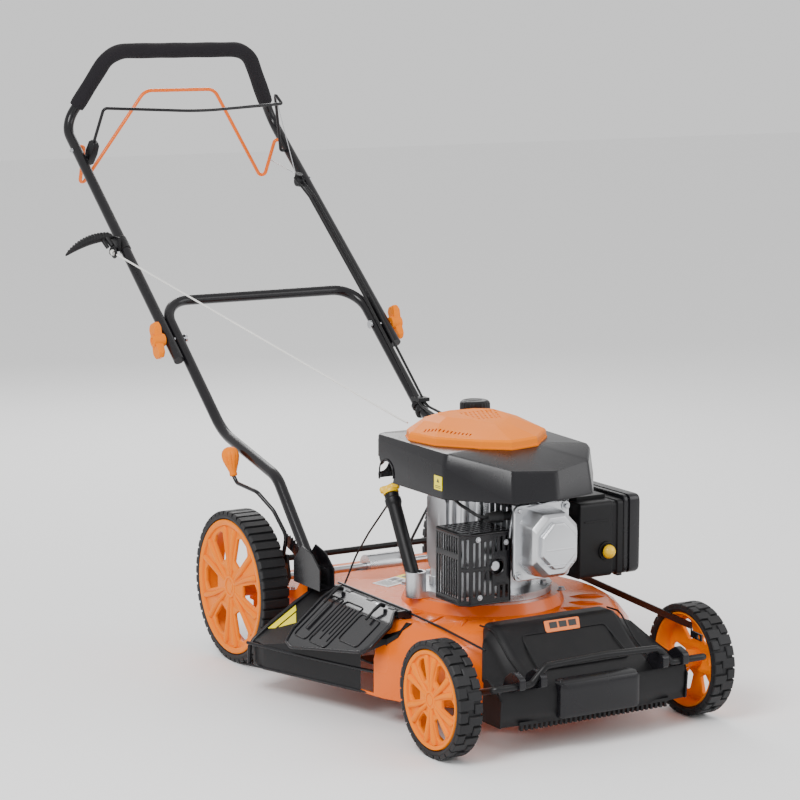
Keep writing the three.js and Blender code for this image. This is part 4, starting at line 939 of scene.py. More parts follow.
def over_tube(x, y):
    return (x, y + LIFT.x, handle_z(y) + LIFT.y)


def cable_top(x):
    return [(x - 6, 1046, handle_z(1046) + 14), over_tube(x, 1000), over_tube(x, FOLD[0] + 40),
            (x - 8, BACKREST[1][0] + LIFT.x, BACKREST[1][1] + LIFT.y + 4, 60)]


REAR_PIVOT = (273.0, 179.0)
BRAKE_X, DRIVE_X = LOWER_X + 10, LOWER_X - 3
cable_ends = {
    "brake_cable": cable_top(BRAKE_X) + [(BRAKE_X - 14, 330, 424, 60), (192, 150, 412, 60), (112, 49, 430)],
    "drive_cable": cable_top(DRIVE_X) + [(DRIVE_X - 22, 330, 418, 60), (150, 300, 330, 50),
                                         (60, REAR_PIVOT[0] - 26, REAR_PIVOT[1] + 70, 40),
                                         (30, REAR_PIVOT[0] - 22, REAR_PIVOT[1] + 15)],
}
crossing = []
for cable_name, corners in cable_ends.items():
    sheath = Drawing().sweep(even(bend(corners), 10), 2.7, 12)
    crossing.append(make(f"{cable_name}_sheath", sheath, "chassis", rubber, (cable_name,)))
crossing.append(rope_piece)

# These pieces cross the fold, so they are taken off their bodies and left where they stand in the frame.
for piece in crossing:
    piece.parent = None
    del piece["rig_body"]
    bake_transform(piece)

# %% Cable stop, inner wires and clips
STOP_Y = 1046.0
stop = Drawing()
stop_z = handle_z(STOP_Y)
stop.turned([(0, 0), (10, 0), (11, 1.5), (11, 5), (8, 6), (8, 10), (11, 11), (11, 15), (10, 16), (0, 16)],
            (UPPER_X - 31, STOP_Y - 5, stop_z + 6), "X", 24)
stop.turned([(0, 0), (9, 0), (9, 14), (0, 14)], (UPPER_X - 22, STOP_Y + 2, stop_z + 10), (0, -0.45, 0.9),
            20)
stop.box(UPPER_X - 24, UPPER_X - 11.2, STOP_Y - 9, STOP_Y + 9, stop_z - 6, stop_z + 12)
make("cable_stop", stop, "handle", black_plastic, bevel=0.7)
wires = Drawing()
ends = ((Vector((204, brake_y - 28, brake_z + 128)), -3.0),
        (Vector((228, DRIVE_PIVOT[0] + 20, DRIVE_PIVOT[1] - 44)), 4.0))
for target, shift in ends:
    start = Vector((UPPER_X - 24 + shift, STOP_Y + 2, stop_z + 18))
    wires.sweep([start.lerp(target, k / 8) for k in range(9)], 0.9, 8)
make("cable_inner_wires", wires, "handle", steel)

clips = Drawing()
for y in (512, 527):
    a = Vector((LOWER_X, y, 424.8 + SLOPE * (y - 509)))
    clips.turned([(TUBE + 0.3, -5), (TUBE + 3, -5), (TUBE + 3.6, -4), (TUBE + 3.6, 4), (TUBE + 3, 5),
                  (TUBE + 0.3, 5)],
                 a, (0, 1, SLOPE), 24, closed=True)
clips.box(LOWER_X - 13, LOWER_X + 13, 503, 535, 449, 457)
make("cable_clips", clips, "chassis", black_plastic, bevel=0.6)

# %% [markdown]
# ## Height lever
# One lever sets the cutting height of all four wheels. It is a black rod bent round the rear wheel,
# with an orange knob like a small balloon whose flutes give grip.

# %% Lever rod and fluted knob
REAR_PIN = (278.0, 214.0)
KNOB_FOOT = Vector((-260, REAR_PIVOT[0] + 131, REAR_PIVOT[1] + 178))
KNOB_TOP = Vector((-261, REAR_PIVOT[0] + 149, REAR_PIVOT[1] + 234))
lever_line = bend([
    (-222.9, REAR_PIN[0] - 2, REAR_PIN[1] - 8), (-222.9, REAR_PIVOT[0] - 15, REAR_PIVOT[1] + 83, 24),
    (-234.9, REAR_PIVOT[0] + 14, REAR_PIVOT[1] + 128, 40),
    (KNOB_FOOT.x + 8, REAR_PIVOT[0] + 48, REAR_PIVOT[1] + 160, 22),
    (KNOB_FOOT.x + 2, REAR_PIVOT[0] + 121, REAR_PIVOT[1] + 166, 14), tuple(KNOB_FOOT),
    tuple(KNOB_FOOT.lerp(KNOB_TOP, 0.5)),
], 10)
make("height_lever_rod", Drawing().sweep(lever_line, 3.9, 14), "rear_suspension", black_paint,
     ("height_lever",))
knob = Drawing()
up = (KNOB_TOP - KNOB_FOOT).normalized()
knob_profile = [(5.4, 0), (7.2, 1), (7.6, 5), (7.2, 8), (9, 13), (12.5, 22), (15.8, 31), (17.1, 39),
                (16.8, 45),
                (14.5, 51), (10, 55.5), (4, 57.6)]
knob_rings = []
for radius, height in knob_profile:
    flute = 0.13 * max(0.0, math.sin(math.pi * min(1, max(0, (height - 8) / 46))))
    ring = []
    for k in range(60):
        a = 2 * math.pi * k / 60
        r = radius * (1 - flute * max(0.0, math.cos(10 * a)) ** 3)
        ring.append(KNOB_FOOT + turn_to(up) @ Vector((r * math.cos(a), r * math.sin(a), height)))
    knob_rings.append(ring)
knob.rings(knob_rings)
make("lever_knob_fluted", knob, "rear_suspension", orange_plastic, ("lever_knob",),
     smooth=60)
print("handle pieces made")

# %% [markdown]
# ## Cutting real slots
# Slots that you can see through have to be cut, not painted. A Boolean modifier cuts one closed
# mesh with another; the result is then made permanent, so that no hidden cutter stays behind.

# %% A helper that cuts a piece with a drawing
def carve(piece, drawing):
    """Takes a drawing's volume out of a piece for good."""
    mesh = bpy.data.meshes.new("cutter")
    mesh.from_pydata([at(*p) for p in drawing.points], [], drawing.faces)
    sketch = bmesh.new()
    sketch.from_mesh(mesh)
    bmesh.ops.recalc_face_normals(sketch, faces=sketch.faces)
    sketch.to_mesh(mesh)
    sketch.free()
    cutter = bpy.data.objects.new("cutter", mesh)
    bpy.context.scene.collection.objects.link(cutter)
    cut = piece.modifiers.new("cut", "BOOLEAN")
    cut.operation, cut.solver, cut.object = "DIFFERENCE", "EXACT", cutter
    cut.use_self = True
    shaping = [m for m in piece.modifiers if m.type == "BEVEL"]
    for modifier in shaping:
        modifier.show_viewport = modifier.show_render = False
    bpy.context.view_layer.update()
    done = bpy.data.meshes.new_from_object(piece.evaluated_get(bpy.context.evaluated_depsgraph_get()))
    if not done.polygons:
        raise RuntimeError(f"the cut left nothing of {piece.name}")
    for modifier in list(piece.modifiers):
        if modifier not in shaping:
            piece.modifiers.remove(modifier)
    for modifier in shaping:
        modifier.show_viewport = modifier.show_render = True
    piece.data = done
    done.shade_smooth()
    bpy.data.objects.remove(cutter)
    return piece


def facing(drawing, place, u, v):
    """Stands a flat (u, v, thickness) drawing up at a place, with its u and v along two directions."""
    u, v = Vector(u), Vector(v)
    n = u.cross(v)
    return drawing.moved(Matrix.Translation(Vector(place)) @ Matrix(
        ((u.x, v.x, n.x), (u.y, v.y, n.y), (u.z, v.z, n.z))).to_4x4())


def slot_outline(u, v, half_u, half_v, radius):
    return rounded([(u - half_u, v - half_v), (u + half_u, v - half_v), (u + half_u, v + half_v),
                    (u - half_u, v + half_v)], radius, 3)


# %% [markdown]
# ## Engine cowl
# The black cowl covers the flywheel. Its lower wall is upright, and above a crease that falls towards
# the front the wall leans in. Rings at the skirt, the crease, the rim and the top give that shape; the
# skin gets a wall thickness, and a round opening lets the oil cap be reached.

# %% Cowl
COWL_BOTTOM, COWL_TOP = 402.0, 486.0
cowl_plan = rounded([(-150, 46, 16), (-150, -196, 26), (-67, -292, 9), (20, -304, 40), (108, -284, 20),
                     (150, -222, 34), (150, 46, 16)], 12, 6)


def cowl_top(y):
    return np.interp(y, [-311, -277, -196, 46], [452, 466, 484, COWL_TOP])


def crease(y):
    return np.interp(y, [-311, -250, -196, 46], [404.5, 405, 462, 476])


def cowl_ring(by, height, share=1.0):
    """The plan moved in by a distance, or drawn in to a share of itself, at a height."""
    ring = []
    for x, y in cowl_plan:
        heart = Vector((0, min(0, max(-150, y))))
        reach = Vector((x, y)) - heart
        p = heart + (reach - reach.normalized() * (by(y) if callable(by) else by)) * share
        ring.append((p.x, p.y, height(p.y if share < 1 else y) if callable(height) else height))
    return ring


def lean_in(y):
    return np.interp(y, [-311, -280, -196, 46], [9, 11, 6, 2])


cowl = Drawing()
cowl.rings([
    cowl_ring(lambda y: lean_in(y) + 12, lambda y: cowl_top(y) - 4, 0.06),
    cowl_ring(lambda y: lean_in(y) + 12, lambda y: cowl_top(y) - 4, 0.5),
    cowl_ring(lambda y: lean_in(y) + 6, lambda y: cowl_top(y) - 4),
    cowl_ring(3.6, lambda y: crease(y) - 0.5), cowl_ring(3.4, COWL_BOTTOM),
    cowl_ring(1.0, COWL_BOTTOM), cowl_ring(0.3, COWL_BOTTOM + 1.2),
    cowl_ring(0.2, lambda y: crease(y) - 0.6), cowl_ring(0.7, lambda y: crease(y) + 1.2),
    cowl_ring(lambda y: lean_in(y) - 1.5, lambda y: cowl_top(y) - 4.4),
    cowl_ring(lambda y: lean_in(y) + 1.0, lambda y: cowl_top(y) - 1.2),
    cowl_ring(lambda y: lean_in(y) + 6, cowl_top),
    cowl_ring(lambda y: lean_in(y) + 12, cowl_top, 0.5),
    cowl_ring(lambda y: lean_in(y) + 12, cowl_top, 0.06),
])
cowl_piece = make("engine_cowl", cowl, "chassis", satin_plastic, ("blower_housing",),
                  smooth=28)
for reach, low, high, place, way in ((24, -40, 60, (-136, 4, 418), (-1, 0, -0.25)),
                                     (17, -40, 60, (-136, 11, 392), (0.0, 0.55, 0.83)),
                                     (18, -9, 30, (53, 26, 486), "Z")):
    carve(cowl_piece, Drawing().turned([(0, low), (reach, low), (reach, high), (0, high)], place, way, 36))
print("cowl after its openings:", len(cowl_piece.data.polygons), "faces")
cowl_piece.data.set_sharp_from_angle(angle=math.radians(28))

# A raised lip round the opening for the oil cap, and a yellow warning label.
lip = Drawing()
lip_ring = []
for k in range(25):
    a = math.pi * (-0.08 + 1.16 * k / 24)
    lip_ring.append(Vector((-150.6, 4 + 25.2 * math.cos(a), 418 + 25.2 * math.sin(a))))
lip.sweep(lip_ring, 1.5, 10)
make("cowl_opening_lip", lip, "chassis", satin_plastic)
for part, drawing, paint in (
    ("back", Drawing().box(-150.9, -149.8, -190, -164, 417, 442), label_yellow),
    ("sign", Drawing().rings([
        [(x, -177 + 5 * math.cos(a), 433 + 5 * math.sin(a))
         for a in (math.pi / 2, math.pi * 7 / 6, math.pi * 11 / 6)]
        for x in (-151.1, -150.8)]), label_black),
    ("rule", Drawing().box(-151.1, -150.8, -186, -168, 420.5, 421.7).box(-151.1, -150.8, -186, -168, 423.5,
            424.7), label_black),
):
    make(f"cowl_label_{part}", drawing, "chassis", paint)

# %% [markdown]
# ## Starter cover
# The orange cover over the recoil starter is a low faceted dome. Its facets are flat and meet at
# rounded creases, so it must not be smoothed into a dome: few points, then a bevel. A row of air
# slots runs along its right side, and a grille of short slots lies on the top facet.

# %% Starter cover
COVER_FOOT = [(-135, -49), (-122, -118), (-66, -184), (-15, -207), (44, -200), (104, -138), (112, -82),
              (92, -24),
              (16, -8), (-62, 2), (-116, -8)]
CROWN = Vector((14, -78))


def cover_ring(height, share):
    """The foot's outline at a share of its size, at a height over the cowl, whose top it follows."""
    points = [CROWN + (Vector(foot) - CROWN) * share for foot in COVER_FOOT]
    return [(p.x, p.y, cowl_top(p.y) + height) for p in points]


PLATEAU = [(-98, -42, 517), (-90, -82, 517), (-46, -126, 512), (-12, -166, 509), (30, -160, 509),
           (72, -116, 512),
           (80, -74, 516), (66, -40, 520), (14, -28, 525), (-50, -22, 525), (-88, -28, 521)]
RIDGE = [(-72, -46, 526), (-66, -66, 525), (-30, -98, 521), (-6, -132, 517), (22, -126, 517),
         (50, -96, 520),
         (56, -66, 524), (44, -46, 528), (10, -40, 530.5), (-40, -38, 530.5), (-64, -40, 529)]
cover = Drawing().rings([cover_ring(0.4, 1.0), cover_ring(12, 0.99), cover_ring(15, 0.965), PLATEAU, RIDGE])
cover_piece = make("starter_cover", cover, "chassis", orange_plastic, ("recoil_cover",),
                   bevel=1.2, smooth=6)
slots = Drawing()
side_a, side_b = Vector((-118, -74, 507)), Vector((-62, -152, 502))
for k in range(13):
    centre = side_a.lerp(side_b, (k + 0.3) / 13)
    run = (side_b - side_a).normalized()
    lean = Vector((0.72, 0.42, 0.55)).normalized()
    n = run.cross(lean).normalized()
    corners = [centre + run * a + lean * b + n * c for c in (-7, 7) for a,
               b in ((-1.5, -4.6), (1.5, -4.6), (1.5, 4.6), (-1.5, 4.6))]
    slots.rings([corners[:4], corners[4:]])
for row in range(4):
    for k in range(9 - row):
        x, y = -28 + 9 * k + 4.5 * row, -56 - 13 * row
        slots.box(x - 1.6, x + 1.6, y - 4.5, y + 4.5, 517, 548)
carve(cover_piece, slots)
print("starter cover after its slots:", len(cover_piece.data.polygons), "faces")

flange = Drawing().rings([cover_ring(-1.5, 1.012), cover_ring(2.2, 1.012)])
make("starter_cover_flange", flange, "chassis", orange_plastic, bevel=0.8, smooth=20)

# %% Fuel cap with a knurled edge, and its vent boss
cap_low, cap_high = node_box("fuel_cap")
cap_middle = (cap_low + cap_high) / 2
CAP_RADIUS = (cap_high.x - cap_low.x) / 2 - 0.2
cap_foot = cap_low.z
cap = Drawing()
cap_rings = []
for share, grow, toothed in ((0.0, 0.93, 0), (0.06, 0.99, 1), (0.72, 0.99, 1), (0.86, 0.95, 0.4),
                             (0.97, 0.84, 0), (1.0, 0.74, 0),
                             (0.97, 0.66, 0), (0.975, 0.1, 0)):
    ring = []
    for k in range(96):
        a = 2 * math.pi * k / 96
        r = CAP_RADIUS * grow * (1 - 0.035 * toothed * (1 if k % 4 < 2 else 0))
        ring.append((cap_middle.x + r * math.cos(a), cap_middle.y + r * math.sin(a),
                     cap_foot + share * (cap_high.z - cap_foot)))
    cap_rings.append(ring)
cap.rings(cap_rings)
bar = rounded([(-15, -3.5), (15, -3.5), (15, 3.5), (-15, 3.5)], 3, 3)
cap.rings([[(cap_middle.x + u * s, cap_middle.y + v * s, z) for u, v in bar]
           for s, z in ((1.0, cap_high.z - 4), (1.0, cap_high.z - 0.8), (0.92, cap_high.z))])
cap.turned([(0, -26), (13.2, -26), (13.2, 2), (0, 2)], (cap_middle.x, cap_middle.y, cap_foot), "Z", 32)
make("fuel_cap_knurled", cap, "fuel_cap", black_plastic, ("fuel_cap",), bevel=0.5,
     smooth=34)

# %% [markdown]
# ## Oil filler
# A black tube slopes up from the crankcase, and a yellow cap with two wings closes it. The dipstick
# hangs from the cap, so the two are one piece that lifts out.

# %% Filler tube, collar and cap
FILLER_FOOT, FILLER_TOP = Vector((-146, -88, 236)), Vector((-136, 11, 376))
filler_way = (FILLER_TOP - FILLER_FOOT).normalized()
filler_length = (FILLER_TOP - FILLER_FOOT).length
tube = Drawing()
tube.turned([(9.2, 0), (12.6, 0), (12.8, 18), (12.8, filler_length - 26), (13.9, filler_length - 22),
             (15.2, filler_length - 19),
             (15.2, filler_length - 10), (13.6, filler_length - 8), (13.6, filler_length - 0.8),
             (9.2, filler_length - 0.8)],
            FILLER_FOOT, filler_way, 36, closed=True)
make("oil_filler_pipe", tube, "chassis", black_plastic, ("oil_filler_tube",), bevel=0.6,
     smooth=30)
cap_low, cap_high = node_box("oil_dipstick")
wing = rounded([(-19, -6, 4), (-15, -12, 5), (-4, -8, 6), (6, -13, 5), (18, -8, 5), (19, 6, 5), (8, 13, 5),
                (-3, 8, 6),
                (-14, 12, 5), (-19, 6, 4)], 4, 5)
dip = Drawing()
u = filler_way.cross(Vector((-0.6, -0.8, 0))).normalized()
v = filler_way.cross(u)
base = FILLER_TOP + filler_way * 0.8
dip.turned([(0, 0), (14.2, 0), (14.8, 1.2), (14.8, 6), (13, 8), (0, 8)], base, filler_way, 32)
dip.rings([[base + filler_way * h + u * a * s + v * b * s * 0.8 for a, b in wing]
           for h, s in ((5.5, 0.80), (8, 0.97), (13.5, 1.0), (16, 0.92), (16.6, 0.8))])
dip.sweep([base - filler_way * (130 * k / 8) for k in range(9)], 2.8, 10)
make("oil_dipstick_cap", dip, "dipstick", yellow_plastic, ("oil_dipstick",), bevel=0.7,
     smooth=34)

# %% [markdown]
# ## Muffler guard
# The guard is a cage of thin black sheet with long slots, bent round the bright muffler. Each face is a
# flat outline with holes, stood up in its place, and a chamfer joins the front to the side.

# %% Guard: its size, and the front face
guard_low, guard_high = node_box("muffler_guard")
gx0, gx1, gy0, gy1, gz0, gz1 = guard_low.x, guard_high.x, guard_low.y, guard_high.y, guard_low.z, guard_high.z
CHAMFER, SHEET = 15.0, 2.6
guard = Drawing()
front_width, front_height = gx1 - gx0 - CHAMFER, gz1 - gz0
holes = []
for k in range(7):
    u = 8 + k * (front_width - 16) / 6
    if k < 4:
        holes.append(slot_outline(u, front_height * 0.30, 2.6, 22, 2))
        holes.append(slot_outline(u, front_height * 0.70, 2.6, 22, 2))
    else:
        holes.append(slot_outline(u, front_height * 0.82, 2.6, 13, 2))
        holes.append(slot_outline(u, front_height * 0.16, 2.6, 11, 2))
EXHAUST = (-82.0, 288.0)
hole_u = EXHAUST[0] - gx0 - CHAMFER
holes.append([(hole_u + 13 * math.cos(2 * math.pi * k / 32),
               EXHAUST[1] - gz0 + 13 * math.sin(2 * math.pi * k / 32)) for k in range(32)])
edge_outline = rounded([(0, 0), (front_width, 0), (front_width, front_height), (0, front_height)], 2, 2)
front = curve_plate("front", [edge_outline, *holes], SHEET, 0.7)
facing(front, (gx0 + CHAMFER, gy0 + SHEET / 2, gz0), (1, 0, 0), (0, 0, 1))
guard.add(front.points, front.faces)

# %% Guard: the side, the slanted corner and the top
side_width = gy1 - gy0 - CHAMFER
holes = []
for k in range(9):
    u = 7 + k * (side_width - 14) / 8
    holes.append(slot_outline(u, front_height * 0.36, 2.3, front_height * 0.27, 2))
    holes.append(slot_outline(u, front_height * 0.82, 2.3, front_height * 0.11, 2))
side = curve_plate("side",
        [slot_outline(side_width / 2, front_height / 2, side_width / 2, front_height / 2, 2), *holes],
                   SHEET, 0.7)
facing(side, (gx0 + SHEET / 2, gy1, gz0), (0, -1, 0), (0, 0, 1))
guard.add(side.points, side.faces)

slant = Vector((1, -1, 0)).normalized()
chamfer_width = CHAMFER * math.sqrt(2)
holes = [slot_outline(u, v, 2.2, front_height * 0.2, 2) for u in (6, chamfer_width - 6)
         for v in (front_height * 0.27, front_height * 0.73)]
corner = curve_plate("corner",
        [slot_outline(chamfer_width / 2, front_height / 2, chamfer_width / 2, front_height / 2, 1), *holes],
                     SHEET, 0.7)
facing(corner, (gx0 + 0.9, gy0 + CHAMFER + 0.9, gz0), slant, (0, 0, 1))
guard.add(corner.points, corner.faces)

top_width, top_depth = gx1 - gx0, gy1 - gy0
holes = []
for i in range(8):
    for j in range(6):
        u, v = 14 + i * (top_width - 26) / 7, 13 + j * (top_depth - 24) / 5
        if u + v > CHAMFER + 16:
            holes.append(slot_outline(u, v, 2.6, 3.8, 2.2))
top_outline = rounded([(CHAMFER, 0, 2), (top_width, 0, 4), (top_width, top_depth, 2), (0, top_depth, 2),
                       (0, CHAMFER, 2)], 3, 3)
top = curve_plate("top", [top_outline, *holes], SHEET, 0.7)
facing(top, (gx0, gy0, gz1 - SHEET / 2), (1, 0, 0), (0, 1, 0))
guard.add(top.points, top.faces)
guard.box(gx1 - SHEET, gx1, gy0, gy1, gz0, gz1 - SHEET)
for z in (gz0 + 1.5, gz1 - 3.5):
    rail = [Vector((gx1 - 2, gy0 + 0.9, z)), Vector((gx0 + CHAMFER, gy0 + 0.9, z)),
            Vector((gx0 + 0.9, gy0 + CHAMFER, z)), Vector((gx0 + 0.9, gy1 - 2, z))]
    guard.sweep(even(rail, 12), 1.7, 8)
ring = [Vector((EXHAUST[0] + 14.5 * math.cos(2 * math.pi * k / 32), gy0 + 0.6,
                EXHAUST[1] + 14.5 * math.sin(2 * math.pi * k / 32))) for k in range(33)]
guard.sweep(ring, 1.7, 8)
print("guard faces:", len(guard.faces))
make("muffler_guard_cage", guard, "chassis", black_paint, ("muffler_guard",), smooth=40)
guard_bolts = Drawing()
for x, z in ((gx0 + 30, gz1 - 12), (gx1 - 10, gz1 - 22), (gx0 + 34, gz0 + 14)):
    bolt_head(guard_bolts, (x, gy0 + 0.2, z), "-Y", 7, 3.5)
make("muffler_guard_bolts", guard_bolts, "chassis", steel, bevel=0.3)

# %% [markdown]
# ## Cylinder head
# The rocker cover is pressed from bright metal: a flange with four bolts, a body that leans in and a
# raised six-sided panel. Rings of the same outline, drawn in step by step, give all of it.

# %% Rocker cover
def six(half_x, z0, z1, cut, y, middle=2.0):
    outline = rounded([(middle - half_x + cut, z0), (middle + half_x - cut, z0),
                       (middle + half_x, z0 + cut),
                       (middle + half_x, z1 - cut), (middle + half_x - cut, z1),
                       (middle - half_x + cut, z1),
                       (middle - half_x, z1 - cut), (middle - half_x, z0 + cut)], 6, 4)
    return [(x, y, z) for x, z in outline]


rocker_low, rocker_high = node_box("rocker_cover")
ry_back, ry_front = rocker_high.y, rocker_low.y
rz0, rz1 = rocker_low.z, rocker_high.z
mid_x = (rocker_low.x + rocker_high.x) / 2
half = (rocker_high.x - rocker_low.x) / 2
head = Drawing()
head.rings([six(half * s, rz0 + d, rz1 - d, 9, y, mid_x) for s, d, y in
            ((0.98, 1.2, ry_back), (1.0, 0.0, ry_back - 1.5), (1.0, 0.0, ry_back - 6),
             (0.975, 1.5, ry_back - 8))])
head.rings([six(half * s, rz0 + d, rz1 - d, c, y, mid_x) for s, d, c, y in
            ((0.84, 10, 22, ry_back - 7), (0.83, 11, 22, ry_back - 30), (0.80, 13, 23, ry_front + 18),
             (0.74, 17, 26, ry_front + 11),
             (0.72, 18.5, 26, ry_front + 9.6))])
head.rings([six(half * s, rz0 + d + 2, rz1 - d, c, y, mid_x) for s, d, c, y in
            ((0.62, 25, 24, ry_front + 11), (0.60, 26, 24, ry_front + 3.2), (0.575, 28, 24, ry_front + 0.8),
             (0.53, 31, 22, ry_front + 0.4))])
head.box(mid_x - 0.50 * half, mid_x + 0.50 * half, ry_front + 1.8, ry_front + 0.1, 322, 325)
head.box(mid_x - 0.52 * half, mid_x + 0.52 * half, ry_front + 1.8, ry_front + 0.1, 296, 298)
make("rocker_cover_pressed", head, "chassis", cast_aluminium, ("rocker_cover",),
     bevel=1.0, smooth=24)
head_bolts = Drawing()
for x in (mid_x - half + 9, mid_x + half - 9):
    for z in (rz0 + 10, rz1 - 10):
        head_bolts.turned([(0, -1), (8.5, -1), (8.5, 5), (0, 5)], (x, ry_back - 5, z), "-Y", 24)
        bolt_head(head_bolts, (x, ry_back - 9, z), "-Y", 8, 6)
make("rocker_cover_bolts", head_bolts, "chassis", steel, bevel=0.4)

# %% Crankcase bolts, side boss and ignition lead
case_bolts = Drawing()
for degrees in (20, 75, 118, 160, 205, 262, 318):
    a = math.radians(degrees)
    bolt_head(case_bolts, (113 * math.cos(a), CRANK_Y + 113 * math.sin(a), 217.6), "Z", 12, 7)
make("crankcase_bolts", case_bolts, "chassis", steel, bevel=0.4)
boss = Drawing()
for degrees in (170, 186, 202, 218, 234):
    a = math.radians(degrees)
    x, y = 92 * math.cos(a), CRANK_Y + 92 * math.sin(a)
    boss.turned([(0, 0), (9, 0), (7.5, 168), (0, 168)], (x, y, 222), "Z", 20)
    boss.turned([(0, 0), (11, 0), (11, 16), (0, 16)], (x, y, 219), "Z", 20)
plate_outline = rounded([(-60, 250), (-2, 250), (6, 270), (6, 384), (-60, 384)], 8, 4)
boss.rings([[(x, CRANK_Y - 4 + (u + 30), v) for u, v in plate_outline] for x in (-99, -92)])
make("crankcase_webs", boss, "chassis", cast_aluminium, bevel=0.8)
lead = Drawing().sweep(bend([(-92, -251, 374), (-112, -252, 378, 10), (-120, -200, 392, 24),
                             (-96, -120, 398, 20), (-70, -100, 400)]), 3.0, 10)
make("ignition_lead", lead, "chassis", rubber)

# %% Governor rods and springs between the cowl and the head
rods = Drawing()
for corners, radius in (
    ([(-48, -268, 400), (-30, -282, 392, 6), (20, -284, 398, 6), (60, -262, 392, 8), (72, -214, 388)], 1.3),
    ([(-20, -276, 404), (-4, -286, 396, 4), (34, -288, 400, 6), (64, -240, 398)], 1.1),
    ([(-46, -262, 388), (-58, -270, 360, 8), (-56, -262, 330)], 1.6),
):
    rods.sweep(bend(corners), radius, 8)
turns = []
for k in range(73):
    a = 2 * math.pi * 9 * k / 72
    turns.append(Vector((28 + 34 * k / 72, -270 + 4 * math.sin(a), 396 + 4 * math.cos(a))))
rods.sweep(turns, 0.7, 6)
make("governor_rods", rods, "chassis", steel)

# %% [markdown]
# ## Air cleaner
# The black box on the left holds the air filter. Its body has a ledge, and the outer cover is a slab
# with a deep groove all round and two hooks below. The yellow bulb primes the carburettor.

# %% Air cleaner body and cover
case_low, case_high = node_box("air_filter_case")
cover_low, cover_high = node_box("air_filter_cover")
airbox = Drawing()


def yz_ring(x, low, high, inset_by, radius):
    outline = rounded([(low.y + inset_by, low.z + inset_by), (high.y - inset_by, low.z + inset_by),
                       (high.y - inset_by, high.z - inset_by), (low.y + inset_by, high.z - inset_by)],
                      radius, 5)
    return [(x, y, z) for y, z in outline]


airbox.rings([yz_ring(x, case_low, case_high, i, 9) for x, i in
              ((case_low.x, 1.2), (case_low.x + 1.2, 0), (case_high.x - 24, 0), (case_high.x - 22, 3),
               (case_high.x - 14, 3), (case_high.x - 12, 0), (case_high.x, 0))])
airbox.box(case_low.x + 10, case_high.x - 30, case_low.y - 1.4, case_low.y + 1, case_high.z - 36,
           case_high.z - 33)
airbox.box(case_low.x + 12, case_high.x - 20, case_low.y + 30, case_high.y - 20, case_high.z - 1,
           case_high.z + 7)
make("air_cleaner_body", airbox, "chassis", black_plastic, ("air_filter_case",), bevel=0.8)
slab = Drawing()
slab.rings([yz_ring(x, cover_low, cover_high, i, 13) for x, i in
            ((cover_low.x, 2), (cover_low.x + 1.5, 0.5), (cover_low.x + 8, 0.5), (cover_low.x + 9, 4),
             (cover_low.x + 12, 4), (cover_low.x + 13, 0.3),
             (cover_high.x - 10, 0.3), (cover_high.x - 4, 2), (cover_high.x - 1, 6),
             (cover_high.x - 0.2, 12))])
for k in range(5):
    y = cover_low.y + 28 + k * 26
    slab.sweep([Vector((cover_high.x - 1.6, y, cover_low.z + 26 + (k % 2) * 4)),
                Vector((cover_high.x - 1.6, y, cover_high.z - 24))], 1.5, 8)
for y in (cover_low.y + 22, cover_high.y - 34):
    slab.box(cover_low.x + 2, cover_low.x + 12, y, y + 14, cover_low.z - 7, cover_low.z + 3)
make("air_cleaner_cover", slab, "chassis", satin_plastic, ("air_filter_cover",), bevel=0.8)

bulb_low, bulb_high = node_box("primer_bulb")
bulb_mid = (bulb_low + bulb_high) / 2
bulb_radius = (bulb_high.x - bulb_low.x) / 2 - 0.2
depth = bulb_high.y - bulb_low.y
bulb = Drawing()
bulb.turned([(0, 0)] + [(bulb_radius * math.cos(t),
                         depth - bulb_radius * 0.95 + bulb_radius * 0.95 * math.sin(t))
                        for t in [math.pi / 2 * k / 10 for k in range(11)]][:-1] + [(0, depth)],
            (bulb_mid.x, bulb_high.y, bulb_mid.z), "-Y", 36)
make("primer_bulb_dome", bulb, "primer", yellow_plastic, ("primer_bulb",), smooth=60)
collar = Drawing().turned([(bulb_radius + 1.0, 0), (bulb_radius + 5, 0), (bulb_radius + 4.4, 3),
                           (bulb_radius + 1.4, 3)],
                          (bulb_mid.x, case_low.y, bulb_mid.z), "-Y", 36, closed=True)
make("primer_collar", collar, "chassis", black_plastic, bevel=0.4)
print("engine pieces made")

# %% [markdown]
# ## Front fascia
# The black moulding over the front of the deck is drawn as a skin: one cross-section after another
# from right to left. The middle stands proud as a hood, and the wings beside it lie lower. Behind
# the axle tube the skin climbs over the deck.

# %% Fascia skin
def smoothstep(low, high, value):
    t = min(1.0, max(0.0, (value - low) / (high - low)))
    return t * t * (3 - 2 * t)


FASCIA_LINE = [(-455, 57), (-459, 84), (-459.5, 107), (-456, 118), (-446, 126), (-430, 133), (-405, 147),
               (-380, 160),
               (-358, 178), (-338, 194), (-325, 199), (-292, 198)]


def fascia_section(x):
    wing = smoothstep(118, 146, abs(x))
    back = -292 if abs(x) < 128 else np.interp(abs(x), [128, 195], [-292, -396])
    row = []
    for y, z in FASCIA_LINE:
        lift = z - 20 * wing * smoothstep(-448, -420, y)
        y = y + np.interp(abs(x), [84, 195], [0, 8]) * smoothstep(-430, -452, y)
        y = min(y, back) if y > -420 else y
        lift = min(lift, np.interp(y, [-448, -420, -380, -332, -292],
                                   [127, 135, 160, 199, 198]) - 20 * wing * smoothstep(-448, -420, y))
        row.append((x, y, lift))
    return row


skin = Drawing()
stations = sorted({-194.5, *(-188 + 8 * k for k in range(48)), -146, -118, 118, 146, 194.5})
skin.rings([fascia_section(x) for x in stations], around=False, caps=False)
make("fascia_skin", skin, "chassis", black_plastic, ("front_fascia",), solidify=3.0,
     smooth=30)

